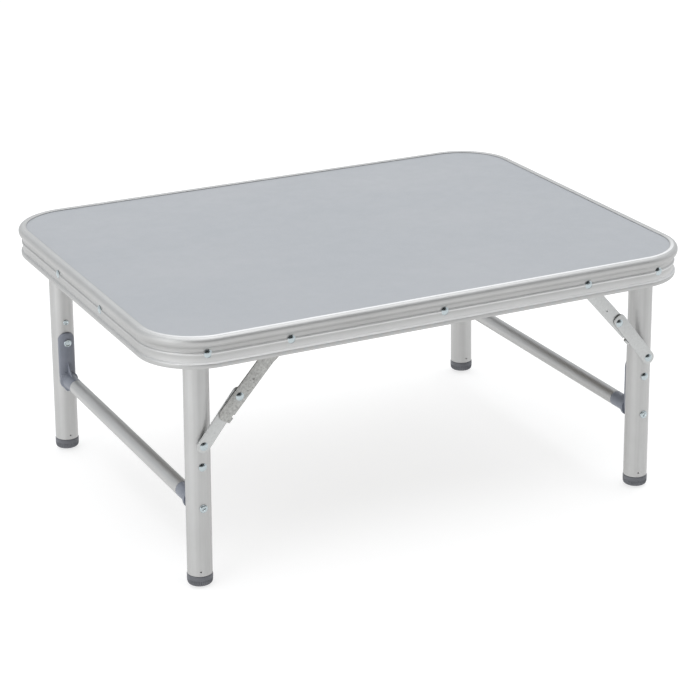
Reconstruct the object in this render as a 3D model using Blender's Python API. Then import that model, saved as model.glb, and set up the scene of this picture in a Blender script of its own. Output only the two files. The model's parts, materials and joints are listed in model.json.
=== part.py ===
"""Low folding table: a panel in an extruded rim, two fold-flat leg pairs and four jointed braces.

Metres, +Z up, origin on the floor under the middle of the table top. +X runs along the long side,
-Y is the front. The table stands unfolded. Each leg pair turns about a line through its two pivot
rivets, and each brace is an upper arm on the rim and a lower arm that meets the leg.
"""
from math import atan2, cos, pi, radians, sin, sqrt

import bmesh
import bpy
from mathutils import Matrix, Vector

# ---- Driving dimensions -------------------------------------------------------------------------
LENGTH = 0.600
WIDTH = 0.450
HEIGHT = 0.266
CORNER_RADIUS = 0.063
FIT_GAP = 0.0003                 # kept between pieces that touch

PANEL_TOP = HEIGHT - 0.0010
PANEL_THICKNESS = 0.0022
PANEL_INSET = 0.0068             # the panel's edge, inside the groove of the rim
PANEL_BEVEL = 0.0016             # its top edge is eased, where the rim's lip covers it

PIVOT_X = 0.2500                 # leg pivots
PIVOT_Z = 0.2492
BRACE_X = 0.1652                 # brace pivots on the rim, level with the leg pivots
LEG_Y = 0.1893                   # plane of the leg axes
SPLAY = radians(0.75)            # the feet stand a little outside the pivots
FOLDED_DROOP = radians(0.60)     # folded legs lie this much off level, with room for the brackets

LEG_RADIUS = 0.0125
LEG_WALL = 0.0012
FOOT_RADIUS = 0.0129
FOOT_HEIGHT = 0.0110
FOOT_CORE_HEIGHT = 0.0220
TUBE_GAP = 0.0003                # plug to tube wall

BAR_RADIUS = 0.0080
BAR_WALL = 0.0012

# Places along a leg, measured down from its pivot.
BRACE_FOOT_AT = 0.0990
BRACKET_TOP_AT = 0.1105
BRACKET_RIVET_AT = 0.1222
BAR_AT = 0.1655
BRACKET_TIP_AT = 0.1790

# Brace arms.
OVER_CENTRE = 0.0010             # how far the middle joint stands past the straight line
ARM_THICKNESS = 0.0015
UPPER_HALF_WIDTH = 0.0075
LOWER_HALF_WIDTH = 0.0070
UPPER_TAIL = 0.0285
LOWER_TAIL = 0.0085
LOWER_OFFSET = 0.0021            # the lower arm's upper hole is off its middle line
TAB_START = 0.0205               # the stop tab on the upper arm's tail, from the middle joint
TAB_END = 0.0270
TAB_INNER = 0.0069
TAB_OUTER = 0.0086
NOTCH_START = 0.0175
NOTCH_DEPTH = 0.0022
JOGGLE_START = 0.0225
JOGGLE_END = 0.0285
BUSH_NOTCH_RADIUS = 0.0038       # open notch for the foot's bush in an upper arm that lies inner

# Arm planes, measured out from the leg's surface to the face that looks at the leg.
PLANE_INNER = 0.0026
PLANE_OUTER = 0.0044
PLANE_HIGH = 0.0060              # the raised end of an upper arm that lies outermost

RIVET_RADIUS = 0.0020
PIVOT_RIVET_RADIUS = 0.0025
RUNNING_FIT = 0.00006
BUSH_RADIUS = 0.0034
HEAD_RADIUS = 0.0040
HEAD_HEIGHT = 0.0013
CLINCH_RADIUS = 0.0031
CLINCH_HEIGHT = 0.0008
HEAD_LIFT = 0.0002

# The rim's faces where rivets pass, measured in from its outermost plane.
RIM_RIVET_FACE = 0.0035
RIM_INNER_WALL = 0.0052
SIDE_RIVET_Y = 0.060
SPLICE_RIVET_X = 0.015
RIM_JOINT_GAP = 0.0003
LEG_SPACER_RADIUS = 0.0048
BRACE_SPACER_RADIUS = 0.0042

# Pressed angle strips inside the rim.
STRIP_THICKNESS = 0.0012
STRIP_REACH = 0.0125
STRIP_BELOW_RIVET = 0.0065
LEDGE_DEPTH = 0.0024             # the rim's ledge, below the panel's underside
CLIP_HALF_WIDTH = 0.011
SPLICE_HALF_WIDTH = 0.026
RAIL_PAST_RIVET = 0.015

# Crossbar brackets.
SADDLE_RADIUS = 0.0139
SADDLE_SHIFT = 0.0013            # the saddle's outer surface is off the leg's axis, so its edges are thin
SADDLE_FACE = SADDLE_RADIUS + SADDLE_SHIFT
SADDLE_HALF_WIDTH = 0.0090
BOSS_LENGTH = 0.0240
SPIGOT_LENGTH = 0.0180
WEB_HEIGHT = 0.0140
WEB_LENGTH = 0.0155
WEB_THICKNESS = 0.0020
SCREW_LENGTH = 0.0420
SCREW_POINT = 0.0030

LEG_SEGMENTS = 20
BAR_SEGMENTS = 16
HOLE_SEGMENTS = 12
RIVET_SEGMENTS = 10
CORNER_STEPS = 6

SIDES = {"left": -1, "right": 1}
ENDS = {"front": -1, "back": 1}

MATERIALS = {
    # name: (colour, metallic, roughness)
    "panel_laminate": ((0.50, 0.52, 0.55), 0.0, 0.35),
    "rim_aluminium": ((0.72, 0.72, 0.72), 1.0, 0.38),
    "leg_aluminium": ((0.68, 0.69, 0.70), 1.0, 0.42),
    "brace_steel": ((0.60, 0.60, 0.59), 1.0, 0.45),
    "rivet_zinc": ((0.70, 0.73, 0.76), 1.0, 0.22),
    "bracket_plastic": ((0.20, 0.22, 0.26), 0.0, 0.45),
    "foot_plastic": ((0.15, 0.16, 0.18), 0.0, 0.55),
}


# ---- Scene and mesh helpers ---------------------------------------------------------------------
def clear_scene():
    for item in list(bpy.data.objects):
        bpy.data.objects.remove(item, do_unlink=True)


def make_material(name):
    colour, metallic, roughness = MATERIALS[name]
    material = bpy.data.materials.new(name)
    material.use_nodes = True
    shader = material.node_tree.nodes["Principled BSDF"]
    shader.inputs["Base Color"].default_value = (*colour, 1.0)
    shader.inputs["Metallic"].default_value = metallic
    shader.inputs["Roughness"].default_value = roughness
    return material


def add_object(name, mesh_maker, material=None, parent=None):
    """Make a named object from a function that fills a bmesh."""
    maker = bmesh.new()
    mesh_maker(maker)
    bmesh.ops.recalc_face_normals(maker, faces=maker.faces)
    mesh = bpy.data.meshes.new(name)
    maker.to_mesh(mesh)
    maker.free()
    item = bpy.data.objects.new(name, mesh)
    bpy.context.collection.objects.link(item)
    if material:
        copy = make_material(material)
        copy.name = name + "_" + material
        mesh.materials.append(copy)
        mesh.shade_smooth()
        mesh.set_sharp_from_angle(angle=radians(35))
    if parent:
        item.parent = parent
    return item


def add_pivot(name, location, rotation_y=0.0, parent=None):
    """An empty on a joint's axis."""
    empty = bpy.data.objects.new(name, None)
    empty.empty_display_size = 0.01
    empty.location = location
    empty.rotation_euler = (0.0, rotation_y, 0.0)
    bpy.context.collection.objects.link(empty)
    if parent:
        empty.parent = parent
    return empty


def boolean(target, name, mesh_maker, operation="DIFFERENCE"):
    """Cut, join or trim an object with a hidden tool shape in the same local frame."""
    tool = add_object(name, mesh_maker, parent=target.parent)
    tool.hide_render = True
    tool.display_type = "WIRE"
    modifier = target.modifiers.new(operation.title(), "BOOLEAN")
    modifier.operation = operation
    modifier.solver = "EXACT"
    modifier.object = tool
    return modifier


def loft(maker, rings, closed=False):
    """Bridge rings of equal length; the first and last are capped unless the loft is closed."""
    loops = [[maker.verts.new(point) for point in ring] for ring in rings]
    count = len(loops[0])
    pairs = list(zip(loops, loops[1:]))
    if closed:
        pairs.append((loops[-1], loops[0]))
    for first, second in pairs:
        for i in range(count):
            j = (i + 1) % count
            maker.faces.new((first[i], first[j], second[j], second[i]))
    if not closed:
        maker.faces.new(loops[0])
        maker.faces.new(list(reversed(loops[-1])))


def frame_of(axis):
    """Two unit vectors square to an axis."""
    axis = Vector(axis).normalized()
    helper = Vector((0, 0, 1)) if abs(axis.z) < 0.9 else Vector((1, 0, 0))
    across = axis.cross(helper).normalized()
    return across, axis.cross(across)


def turned(maker, origin, axis, profile, segments):
    """A solid of revolution: profile points are (distance along the axis, radius)."""
    origin = Vector(origin)
    axis = Vector(axis).normalized()
    across, up = frame_of(axis)
    loops = []
    for along, radius in profile:
        centre = origin + axis * along
        if radius <= 0.0:
            loops.append([maker.verts.new(centre)])
            continue
        turn = [2 * pi * i / segments for i in range(segments)]
        loops.append([maker.verts.new(centre + radius * (cos(t) * across + sin(t) * up)) for t in turn])
    for first, second in zip(loops, loops[1:]):
        for i in range(segments):
            j = (i + 1) % segments
            if len(first) == 1:
                maker.faces.new((first[0], second[i], second[j]))
            elif len(second) == 1:
                maker.faces.new((first[i], first[j], second[0]))
            else:
                maker.faces.new((first[i], first[j], second[j], second[i]))
    for loop in (loops[0], loops[-1]):
        if len(loop) > 1:
            maker.faces.new(loop)


def cylinder(maker, start, end, radius, segments):
    start, end = Vector(start), Vector(end)
    turned(maker, start, end - start, [(0.0, radius), ((end - start).length, radius)], segments)


def pipe(maker, start, end, outer, inner, segments):
    """A tube with open ends, as one closed wall."""
    start, end = Vector(start), Vector(end)
    across, up = frame_of(end - start)
    rings = []
    for centre, radius in ((start, outer), (end, outer), (end, inner), (start, inner)):
        turn = [2 * pi * i / segments for i in range(segments)]
        rings.append([centre + radius * (cos(t) * across + sin(t) * up) for t in turn])
    loft(maker, rings, closed=True)


def prism(maker, outline, near, far):
    """Extrude an outline of (x, z) points along Y."""
    loft(maker, [[(x, near, z) for x, z in outline], [(x, far, z) for x, z in outline]])


def block(maker, low, high):
    outline = [(low[0], low[2]), (high[0], low[2]), (high[0], high[2]), (low[0], high[2])]
    prism(maker, outline, low[1], high[1])


def arc(centre, radius, start, end, steps):
    """Points on an arc in a plane, angles in degrees, both ends included."""
    turn = [radians(start + (end - start) * i / steps) for i in range(steps + 1)]
    return [(centre[0] + radius * cos(t), centre[1] + radius * sin(t)) for t in turn]


def rounded_rectangle(inset, steps=CORNER_STEPS):
    """Plan outline of the table top, moved in by an inset, counter-clockwise from the back right."""
    half_x = LENGTH / 2 - CORNER_RADIUS
    half_y = WIDTH / 2 - CORNER_RADIUS
    corners = ((half_x, half_y, 0), (-half_x, half_y, 90), (-half_x, -half_y, 180), (half_x, -half_y, 270))
    points = []
    for x, y, start in corners:
        points += arc((x, y), CORNER_RADIUS - inset, start, start + 90, steps)
    return points


def hole_radius(shank, gap):
    """Radius of a faceted hole whose flats clear a round shank by the gap."""
    return (shank + gap) / cos(pi / HOLE_SEGMENTS)


def dome():
    """Profile of a rivet's head above its seat."""
    return [(HEAD_HEIGHT, 0.0), (HEAD_HEIGHT * sin(pi / 4), HEAD_RADIUS * cos(pi / 4)), (0.0, HEAD_RADIUS)]


def clinched(start, height=CLINCH_HEIGHT):
    """Profile of a rivet's spread end, from its seat outwards."""
    return [(start, CLINCH_RADIUS), (start - height, CLINCH_RADIUS - 0.0006), (start - height, 0.0)]


def domed_rivet(maker, seat, outward, shank_length, radius, clinch=True):
    """A rivet: domed head on the seat, shank running the other way, and a clinched end."""
    profile = dome() + [(0.0, radius)]
    if clinch:
        profile += [(-shank_length, radius)] + clinched(-shank_length)
    else:
        profile += [(-shank_length, radius), (-shank_length, 0.0)]
    turned(maker, seat, outward, profile, RIVET_SEGMENTS)


# ---- Brace geometry -----------------------------------------------------------------------------
def brace_lengths():
    """Arm lengths that fold flat along the rim and stand just past straight when the leg is down.

    Worked in the plane of the left leg: x to the right, z up. Folded, the lower arm's foot lies
    between the brace pivot and the middle joint, so the arms differ by that offset.
    """
    foot_x = -PIVOT_X - BRACE_FOOT_AT * sin(SPLAY)
    foot_z = PIVOT_Z - BRACE_FOOT_AT * cos(SPLAY)
    span = sqrt((foot_x + BRACE_X) ** 2 + (foot_z - PIVOT_Z) ** 2)
    difference = BRACE_FOOT_AT * cos(FOLDED_DROOP) - (PIVOT_X - BRACE_X)
    total = span
    for _ in range(40):
        # Height of the triangle over its base, solved for the sum of its two other sides.
        upper = (total + difference) / 2
        lower = (total - difference) / 2
        along = (upper ** 2 - lower ** 2 + span ** 2) / (2 * span)
        total = sqrt(along ** 2 + OVER_CENTRE ** 2) + sqrt((span - along) ** 2 + OVER_CENTRE ** 2)
    line = atan2(foot_z - PIVOT_Z, foot_x + BRACE_X) % (2 * pi)
    upper_angle = line - atan2(OVER_CENTRE, along)
    lower_angle = line + atan2(OVER_CENTRE, span - along)
    return upper, lower, upper_angle, lower_angle


UPPER_LENGTH, LOWER_LENGTH, UPPER_ANGLE, LOWER_ANGLE = brace_lengths()


# ---- Table top ----------------------------------------------------------------------------------
def rim_profile():
    """Closed section of the rim as (inset from its outermost plane, depth below its top)."""
    bead = [(0.0044 - 0.0044 * cos(t), 0.0046 - 0.0046 * sin(t)) for t in
            (pi / 2, pi / 3, pi / 6, 0.0)]
    under = [(0.0005, 0.0070), (0.0019, 0.0090), (0.0039, 0.0100)]
    neck = [(0.0039, 0.0152), (RIM_RIVET_FACE, 0.0162), (RIM_RIVET_FACE, 0.0248)]
    band = [(0.0021, 0.0266), (0.0020, 0.0300), (0.0030, 0.0315)]
    flange = [(0.0095, 0.0315), (0.0095, 0.0301), (RIM_INNER_WALL, 0.0301)]
    ledge = [(RIM_INNER_WALL, 0.0047), (0.0120, 0.0047), (0.0120, 0.0035), (0.0065, 0.0035)]
    lip = [(0.0065, 0.0007), (0.0080, 0.0007), (0.0080, 0.0003), (0.0076, 0.0)]
    return bead + under + neck + band + flange + ledge + lip


def rim_mesh(maker):
    """Sweep the section round the plan outline from the back joint to itself."""
    outlines = [rounded_rectangle(inset) for inset, depth in rim_profile()]
    depths = [depth for inset, depth in rim_profile()]
    first_back_left = CORNER_STEPS + 1
    order = list(range(first_back_left, len(outlines[0]))) + list(range(first_back_left))
    rings = []
    rings.append([(-RIM_JOINT_GAP / 2, outline[first_back_left][1], HEIGHT - depth)
                  for outline, depth in zip(outlines, depths)])
    for k in order:
        rings.append([(outline[k][0], outline[k][1], HEIGHT - depth)
                      for outline, depth in zip(outlines, depths)])
    rings.append([(RIM_JOINT_GAP / 2, outline[first_back_left][1], HEIGHT - depth)
                  for outline, depth in zip(outlines, depths)])
    loft(maker, rings)


def rim_rivet_places():
    """Every rivet through the rim: (x, y, outward direction, shank radius)."""
    places = []
    for sy in ENDS.values():
        for sx in SIDES.values():
            places.append((sx * PIVOT_X, sy * WIDTH / 2, (0, sy, 0), PIVOT_RIVET_RADIUS))
            places.append((sx * BRACE_X, sy * WIDTH / 2, (0, sy, 0), RIVET_RADIUS))
            places.append((sx * LENGTH / 2, sy * SIDE_RIVET_Y, (sx, 0, 0), RIVET_RADIUS))
    places.append((0.0, -WIDTH / 2, (0, -1, 0), RIVET_RADIUS))
    for sx in SIDES.values():
        places.append((sx * SPLICE_RIVET_X, WIDTH / 2, (0, 1, 0), RIVET_RADIUS))
    return places


def rim_holes(maker):
    hole_start, hole_end = 0.001, -0.012
    for x, y, outward, radius in rim_rivet_places():
        outward = Vector(outward)
        centre = Vector((x, y, PIVOT_Z))
        cylinder(maker, centre + outward * hole_start, centre + outward * hole_end,
                 hole_radius(radius, FIT_GAP / 2), HOLE_SEGMENTS)


def build_top():
    def panel(maker):
        section = [(PANEL_INSET, PANEL_TOP - PANEL_THICKNESS), (PANEL_INSET, PANEL_TOP - 0.0004),
                   (PANEL_INSET + PANEL_BEVEL, PANEL_TOP)]
        loft(maker, [[(x, y, z) for x, y in rounded_rectangle(inset)] for inset, z in section])

    add_object("tabletop_panel", panel, "panel_laminate")
    rim = add_object("rim_frame", rim_mesh, "rim_aluminium")
    boolean(rim, "cut_rim_holes", rim_holes)


def angle_strip(maker, x, y, outward, half_width):
    """A pressed angle: one leg stands on the rim's inner wall, the other lies under the panel."""
    outward = Vector(outward)
    along = Vector((-outward.y, outward.x, 0))
    top = PANEL_TOP - PANEL_THICKNESS - LEDGE_DEPTH
    wall = -RIM_INNER_WALL - FIT_GAP
    reach = wall - STRIP_REACH
    foot = PIVOT_Z - STRIP_BELOW_RIVET
    section = [(wall, foot), (wall, top), (reach, top), (reach, top - STRIP_THICKNESS),
               (wall - STRIP_THICKNESS, top - STRIP_THICKNESS), (wall - STRIP_THICKNESS, foot)]
    rings = []
    for step in (-half_width, half_width):
        rings.append([Vector((x, y, z)) + outward * d + along * step for d, z in section])
    loft(maker, rings)


def strip_holes(maker, places):
    for x, y, outward in places:
        outward = Vector(outward)
        centre = Vector((x, y, PIVOT_Z))
        cylinder(maker, centre - outward * 0.001, centre - outward * 0.016,
                 hole_radius(RIVET_RADIUS, FIT_GAP / 2), HOLE_SEGMENTS)


def plate_rivet(maker, place, clinch=True):
    """A rivet from the rim's outer face through an angle strip."""
    x, y, outward = place
    outward = Vector(outward)
    seat = Vector((x, y, PIVOT_Z)) - outward * (RIM_RIVET_FACE - HEAD_LIFT)
    grip = RIM_INNER_WALL - RIM_RIVET_FACE + FIT_GAP + STRIP_THICKNESS + 3 * HEAD_LIFT
    length = grip if clinch else grip - STRIP_THICKNESS
    domed_rivet(maker, seat, outward, length, RIVET_RADIUS, clinch)


def build_strips():
    """The front clip and the back splice with their rivets, and the rails on the short sides."""
    front = (0.0, -WIDTH / 2, (0, -1, 0))
    splice = {side: (sx * SPLICE_RIVET_X, WIDTH / 2, (0, 1, 0)) for side, sx in SIDES.items()}
    clip = add_object("panel_clip_front", lambda maker: angle_strip(maker, *front, CLIP_HALF_WIDTH),
                      "brace_steel")
    boolean(clip, "cut_panel_clip_front", lambda maker: strip_holes(maker, [front]))
    add_object("clip_rivet_front", lambda maker: plate_rivet(maker, front), "rivet_zinc")
    back = (0.0, WIDTH / 2, (0, 1, 0))
    plate = add_object("rim_splice", lambda maker: angle_strip(maker, *back, SPLICE_HALF_WIDTH),
                       "brace_steel")
    boolean(plate, "cut_rim_splice", lambda maker: strip_holes(maker, splice.values()))
    for side, place in splice.items():
        add_object("splice_rivet_" + side, lambda maker, place=place: plate_rivet(maker, place), "rivet_zinc")
    for side, sx in SIDES.items():
        outward = (sx, 0, 0)
        rail = add_object("support_rail_" + side, lambda maker, sx=sx, outward=outward: angle_strip(
            maker, sx * LENGTH / 2, 0.0, outward, SIDE_RIVET_Y + RAIL_PAST_RIVET), "rivet_zinc")
        for end, sy in ENDS.items():
            place = (sx * LENGTH / 2, sy * SIDE_RIVET_Y, outward)
            boolean(rail, "join_rail_rivet_{}_{}".format(end, side),
                    lambda maker, place=place: plate_rivet(maker, place, clinch=False), "UNION")


def shouldered_rivet(maker, x, sy, head_seat, radius, shoulder, shoulder_radius, clinch_seat):
    """A pivot rivet on the rim; its thick middle keeps the moving part off the rim's wall."""
    start, end = shoulder
    middle = [(0.0, radius), (end - head_seat, radius), (end - head_seat, shoulder_radius),
              (start - head_seat, shoulder_radius), (start - head_seat, radius)]
    tail = [(clinch_seat - head_seat, radius)] + clinched(clinch_seat - head_seat)
    turned(maker, (x, sy * head_seat, PIVOT_Z), (0, sy, 0), dome() + middle + tail, RIVET_SEGMENTS)


def inner_wall_at(x):
    """How far out the rim's inner wall stands at a place along the long side, in its corner too."""
    into_corner = max(0.0, x - (LENGTH / 2 - CORNER_RADIUS))
    radius = CORNER_RADIUS - RIM_INNER_WALL
    return WIDTH / 2 - CORNER_RADIUS + sqrt(radius ** 2 - into_corner ** 2)


def build_rim_pivots():
    """Shouldered rivets that hang the legs and the braces on the rim."""
    rim_face = WIDTH / 2 - RIM_RIVET_FACE
    inner_wall = WIDTH / 2 - RIM_INNER_WALL
    corner_wall = inner_wall_at(PIVOT_X + LEG_SPACER_RADIUS) - FIT_GAP
    leg_surface = LEG_Y + LEG_RADIUS
    for side, sx in SIDES.items():
        for end, sy in ENDS.items():
            def leg_rivet(maker, sx=sx, sy=sy):
                shouldered_rivet(maker, sx * PIVOT_X, sy, rim_face - 0.00005, PIVOT_RIVET_RADIUS,
                                 (leg_surface + FIT_GAP, corner_wall), LEG_SPACER_RADIUS,
                                 LEG_Y - LEG_RADIUS - HEAD_LIFT)

            def brace_rivet(maker, sx=sx, sy=sy):
                arm_face = leg_surface + arm_planes(sx, sy)[2]
                shouldered_rivet(maker, sx * BRACE_X, sy, rim_face + HEAD_LIFT, RIVET_RADIUS,
                                 (arm_face + ARM_THICKNESS + FIT_GAP, inner_wall - FIT_GAP),
                                 BRACE_SPACER_RADIUS, arm_face - HEAD_LIFT)

            add_object("leg_pivot_rivet_{}_{}".format(end, side), leg_rivet, "rivet_zinc")
            add_object("brace_pivot_rivet_{}_{}".format(end, side), brace_rivet, "rivet_zinc")


# ---- Leg pairs ----------------------------------------------------------------------------------
# A leg's parts are drawn with the pivot at the origin, the leg hanging down -Z, and then splayed.
def floor_depth(sx, x):
    """Depth below the pivot, along the leg, at which the splayed leg meets the floor."""
    return (PIVOT_Z + sx * x * sin(SPLAY)) / cos(SPLAY)


def top_trim(maker, y):
    """Round-ended slab: what is left of a leg's top turns clear of the panel."""
    outline = arc((0, 0), LEG_RADIUS - 0.0001, 0, 180, 10)
    outline += [(-LEG_RADIUS - 0.005, 0.0), (-LEG_RADIUS - 0.005, -0.30)]
    outline += [(LEG_RADIUS + 0.005, -0.30), (LEG_RADIUS + 0.005, 0.0)]
    prism(maker, outline, y - 0.02, y + 0.02)


def cross_hole(maker, y, depth, shank, gap, reach=0.03):
    cylinder(maker, (0, y - reach, -depth), (0, y + reach, -depth), hole_radius(shank, gap), HOLE_SEGMENTS)


def build_leg(side, end, pivot):
    sx, sy = SIDES[side], ENDS[end]
    y = sy * LEG_Y
    tube_end = -(floor_depth(sx, 0) - FOOT_HEIGHT - FIT_GAP)

    def tube(maker):
        pipe(maker, (0, y, 0.0150), (0, y, tube_end), LEG_RADIUS, LEG_RADIUS - LEG_WALL, LEG_SEGMENTS)

    def tube_holes(maker):
        cross_hole(maker, y, 0.0, PIVOT_RIVET_RADIUS, RUNNING_FIT)
        cross_hole(maker, y, BRACE_FOOT_AT, RIVET_RADIUS, FIT_GAP / 2)
        cross_hole(maker, y, BRACKET_RIVET_AT, RIVET_RADIUS, FIT_GAP / 2)
        cross_hole(maker, y, BAR_AT, RIVET_RADIUS, FIT_GAP / 2)

    leg = add_object("leg_{}_{}".format(end, side), tube, "leg_aluminium", pivot)
    boolean(leg, "trim_leg_{}_{}".format(end, side), lambda maker: top_trim(maker, y), "INTERSECT")
    boolean(leg, "cut_leg_{}_{}".format(end, side), tube_holes)

    def foot(maker):
        """A cap with a shoulder for the tube and a core inside it; its sole is flat on the floor."""
        core = LEG_RADIUS - LEG_WALL - TUBE_GAP
        rings = []
        profile = [(0.0, FOOT_RADIUS - 0.0016), (0.0016, FOOT_RADIUS), (FOOT_HEIGHT, FOOT_RADIUS),
                   (FOOT_HEIGHT, core), (FOOT_CORE_HEIGHT, core)]
        for rise, radius in profile:
            ring = []
            for i in range(LEG_SEGMENTS):
                turn = 2 * pi * i / LEG_SEGMENTS
                x = radius * cos(turn)
                depth = floor_depth(sx, x) if rise == 0.0 else floor_depth(sx, 0)
                ring.append((x, y + radius * sin(turn), rise - depth))
            rings.append(ring)
        loft(maker, rings)

    add_object("foot_cap_{}_{}".format(end, side), foot, "foot_plastic", pivot)


def build_bracket(side, end, pivot):
    """A moulded saddle on the leg, with a boss that the crossbar butts, a spigot in it and a web."""
    sy = ENDS[end]
    y = sy * LEG_Y
    inward = -sy
    name = "crossbar_bracket_{}_{}".format(end, side)
    centre = y + inward * SADDLE_SHIFT
    face = y + inward * SADDLE_FACE
    boss_end = face + inward * BOSS_LENGTH

    def saddle(maker):
        cylinder(maker, (0, centre, -BRACKET_TOP_AT + 0.001), (0, centre, -BRACKET_TIP_AT - 0.001),
                 SADDLE_RADIUS, LEG_SEGMENTS)

    def outline(maker):
        """Front view of the saddle: a tongue with round shoulders above and a blunt point below."""
        half, shoulder, tip = SADDLE_HALF_WIDTH, 0.0055, 0.0045
        shape = arc((half - shoulder, -BRACKET_TOP_AT - shoulder), shoulder, 0, 90, 4)
        shape += arc((-half + shoulder, -BRACKET_TOP_AT - shoulder), shoulder, 90, 180, 4)
        shape += [(-half, -BAR_AT - 0.001), (-tip, -BRACKET_TIP_AT + 0.0002)]
        shape += [(tip, -BRACKET_TIP_AT + 0.0002), (half, -BAR_AT - 0.001)]
        low, high = sorted((y, y + inward * 0.03))
        prism(maker, shape, low, high)

    def boss(maker):
        """One turned shape: the boss, and the thinner spigot that plugs the crossbar."""
        core = BAR_RADIUS - BAR_WALL - TUBE_GAP
        start = LEG_RADIUS - 0.001
        end_at = SADDLE_FACE + BOSS_LENGTH - start
        profile = [(0.0, BAR_RADIUS), (end_at, BAR_RADIUS), (end_at, core),
                   (end_at + SPIGOT_LENGTH - 0.001, core), (end_at + SPIGOT_LENGTH, core - 0.001)]
        turned(maker, (0, y + inward * start, -BAR_AT), (0, inward, 0), profile, BAR_SEGMENTS)

    def web(maker):
        """Gusset in the corner between the saddle and the top of the boss."""
        boss_top = -BAR_AT + BAR_RADIUS - 0.0006
        start = y + inward * LEG_RADIUS
        points = [(start, boss_top), (face + inward * WEB_LENGTH, boss_top),
                  (face, boss_top + WEB_HEIGHT), (start, boss_top + WEB_HEIGHT)]
        half = WEB_THICKNESS / 2
        loft(maker, [[(-half, py, pz) for py, pz in points], [(half, py, pz) for py, pz in points]])

    def holes(maker):
        cross_hole(maker, y, BRACKET_RIVET_AT, RIVET_RADIUS, FIT_GAP / 2)
        start, end_y = sorted((y, boss_end))
        cylinder(maker, (0, start, -BAR_AT), (0, end_y, -BAR_AT),
                 hole_radius(RIVET_RADIUS, FIT_GAP / 2), HOLE_SEGMENTS)

    def tube_room(maker):
        cylinder(maker, (0, y, 0.02), (0, y, -0.30), LEG_RADIUS + FIT_GAP, LEG_SEGMENTS)

    item = add_object(name, saddle, "bracket_plastic", pivot)
    boolean(item, "trim_" + name, outline, "INTERSECT")
    boolean(item, "join_boss_" + name, boss, "UNION")
    boolean(item, "join_web_" + name, web, "UNION")
    boolean(item, "room_" + name, tube_room)
    boolean(item, "cut_" + name, holes)


def build_leg_pair(side):
    sx = SIDES[side]
    pivot = add_pivot("fold_axis_" + side, (sx * PIVOT_X, 0, PIVOT_Z), -sx * SPLAY)
    bar_end = LEG_Y - SADDLE_FACE - BOSS_LENGTH - FIT_GAP
    surface = LEG_Y + LEG_RADIUS
    for end in ENDS:
        build_leg(side, end, pivot)
        build_bracket(side, end, pivot)

    def bar(maker):
        pipe(maker, (0, -bar_end, -BAR_AT), (0, bar_end, -BAR_AT),
             BAR_RADIUS, BAR_RADIUS - BAR_WALL, BAR_SEGMENTS)

    add_object("crossbar_" + side, bar, "leg_aluminium", pivot)
    for end, sy in ENDS.items():
        def bracket_rivet(maker, sy=sy):
            seat = (0, sy * (surface + HEAD_LIFT), -BRACKET_RIVET_AT)
            length = LEG_RADIUS + SADDLE_FACE + 3 * HEAD_LIFT
            domed_rivet(maker, seat, (0, sy, 0), length, RIVET_RADIUS)

        def screw(maker, sy=sy):
            """Pan-head screw through the leg into the bracket's spigot."""
            head = [(0.0014, 0.0), (0.0014, 0.0026), (0.0009, 0.0038), (0.0, 0.0040), (0.0, RIVET_RADIUS)]
            shank = [(SCREW_POINT - SCREW_LENGTH, RIVET_RADIUS), (-SCREW_LENGTH, 0.0006),
                     (-SCREW_LENGTH, 0.0)]
            turned(maker, (0, sy * (surface + HEAD_LIFT), -BAR_AT), (0, sy, 0), head + shank,
                   RIVET_SEGMENTS)

        def foot_stud(maker, sy=sy):
            """The leg's half of the brace's foot pivot: clinched inside, with a bush outside."""
            start = LEG_Y - LEG_RADIUS - HEAD_LIFT
            bush_start = surface + FIT_GAP - start
            bush_end = surface + arm_planes(sx, sy)[1] - FIT_GAP - start
            profile = [(-CLINCH_HEIGHT, 0.0), (-CLINCH_HEIGHT, CLINCH_RADIUS - 0.0006),
                       (0.0, CLINCH_RADIUS), (0.0, RIVET_RADIUS), (bush_start, RIVET_RADIUS),
                       (bush_start, BUSH_RADIUS), (bush_end, BUSH_RADIUS), (bush_end, 0.0)]
            turned(maker, (0, sy * start, -BRACE_FOOT_AT), (0, sy, 0), profile, RIVET_SEGMENTS)

        tag = "{}_{}".format(end, side)
        add_object("bracket_rivet_" + tag, bracket_rivet, "rivet_zinc", pivot)
        add_object("crossbar_screw_" + tag, screw, "rivet_zinc", pivot)
        add_object("brace_foot_stud_" + tag, foot_stud, "rivet_zinc", pivot)


# ---- Braces -------------------------------------------------------------------------------------
def arm_planes(sx, sy):
    """Inner faces of the upper arm, the lower arm and the upper arm's rim end, out from the leg.

    The same sub-assembly is used at all four corners. At front left and back right its upper arm
    lies outermost; turned round for the other two corners, its lower arm does.
    """
    if sx == sy:
        return PLANE_OUTER, PLANE_INNER, PLANE_HIGH
    return PLANE_INNER, PLANE_OUTER, PLANE_INNER


# Arms are drawn with u along the arm from its first pivot and v towards the table's middle.
def upper_outline():
    """Outline of the upper arm, split at the joggle: bends, tail, tab, bends and rim end."""
    w, joint = UPPER_HALF_WIDTH, UPPER_LENGTH
    rim_end = arc((0, 0), w, 90, 270, 8)
    tail = arc((joint + UPPER_TAIL - w, 0), w, -90, 25, 7)
    tab = [(joint + TAB_END, w), (joint + TAB_START, w), (joint + TAB_START, w - NOTCH_DEPTH),
           (joint + NOTCH_START, w - NOTCH_DEPTH), (joint + NOTCH_START, w)]
    return [(JOGGLE_START, -w), (JOGGLE_END, -w)], tail, tab, [(JOGGLE_END, w), (JOGGLE_START, w)], rim_end


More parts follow.
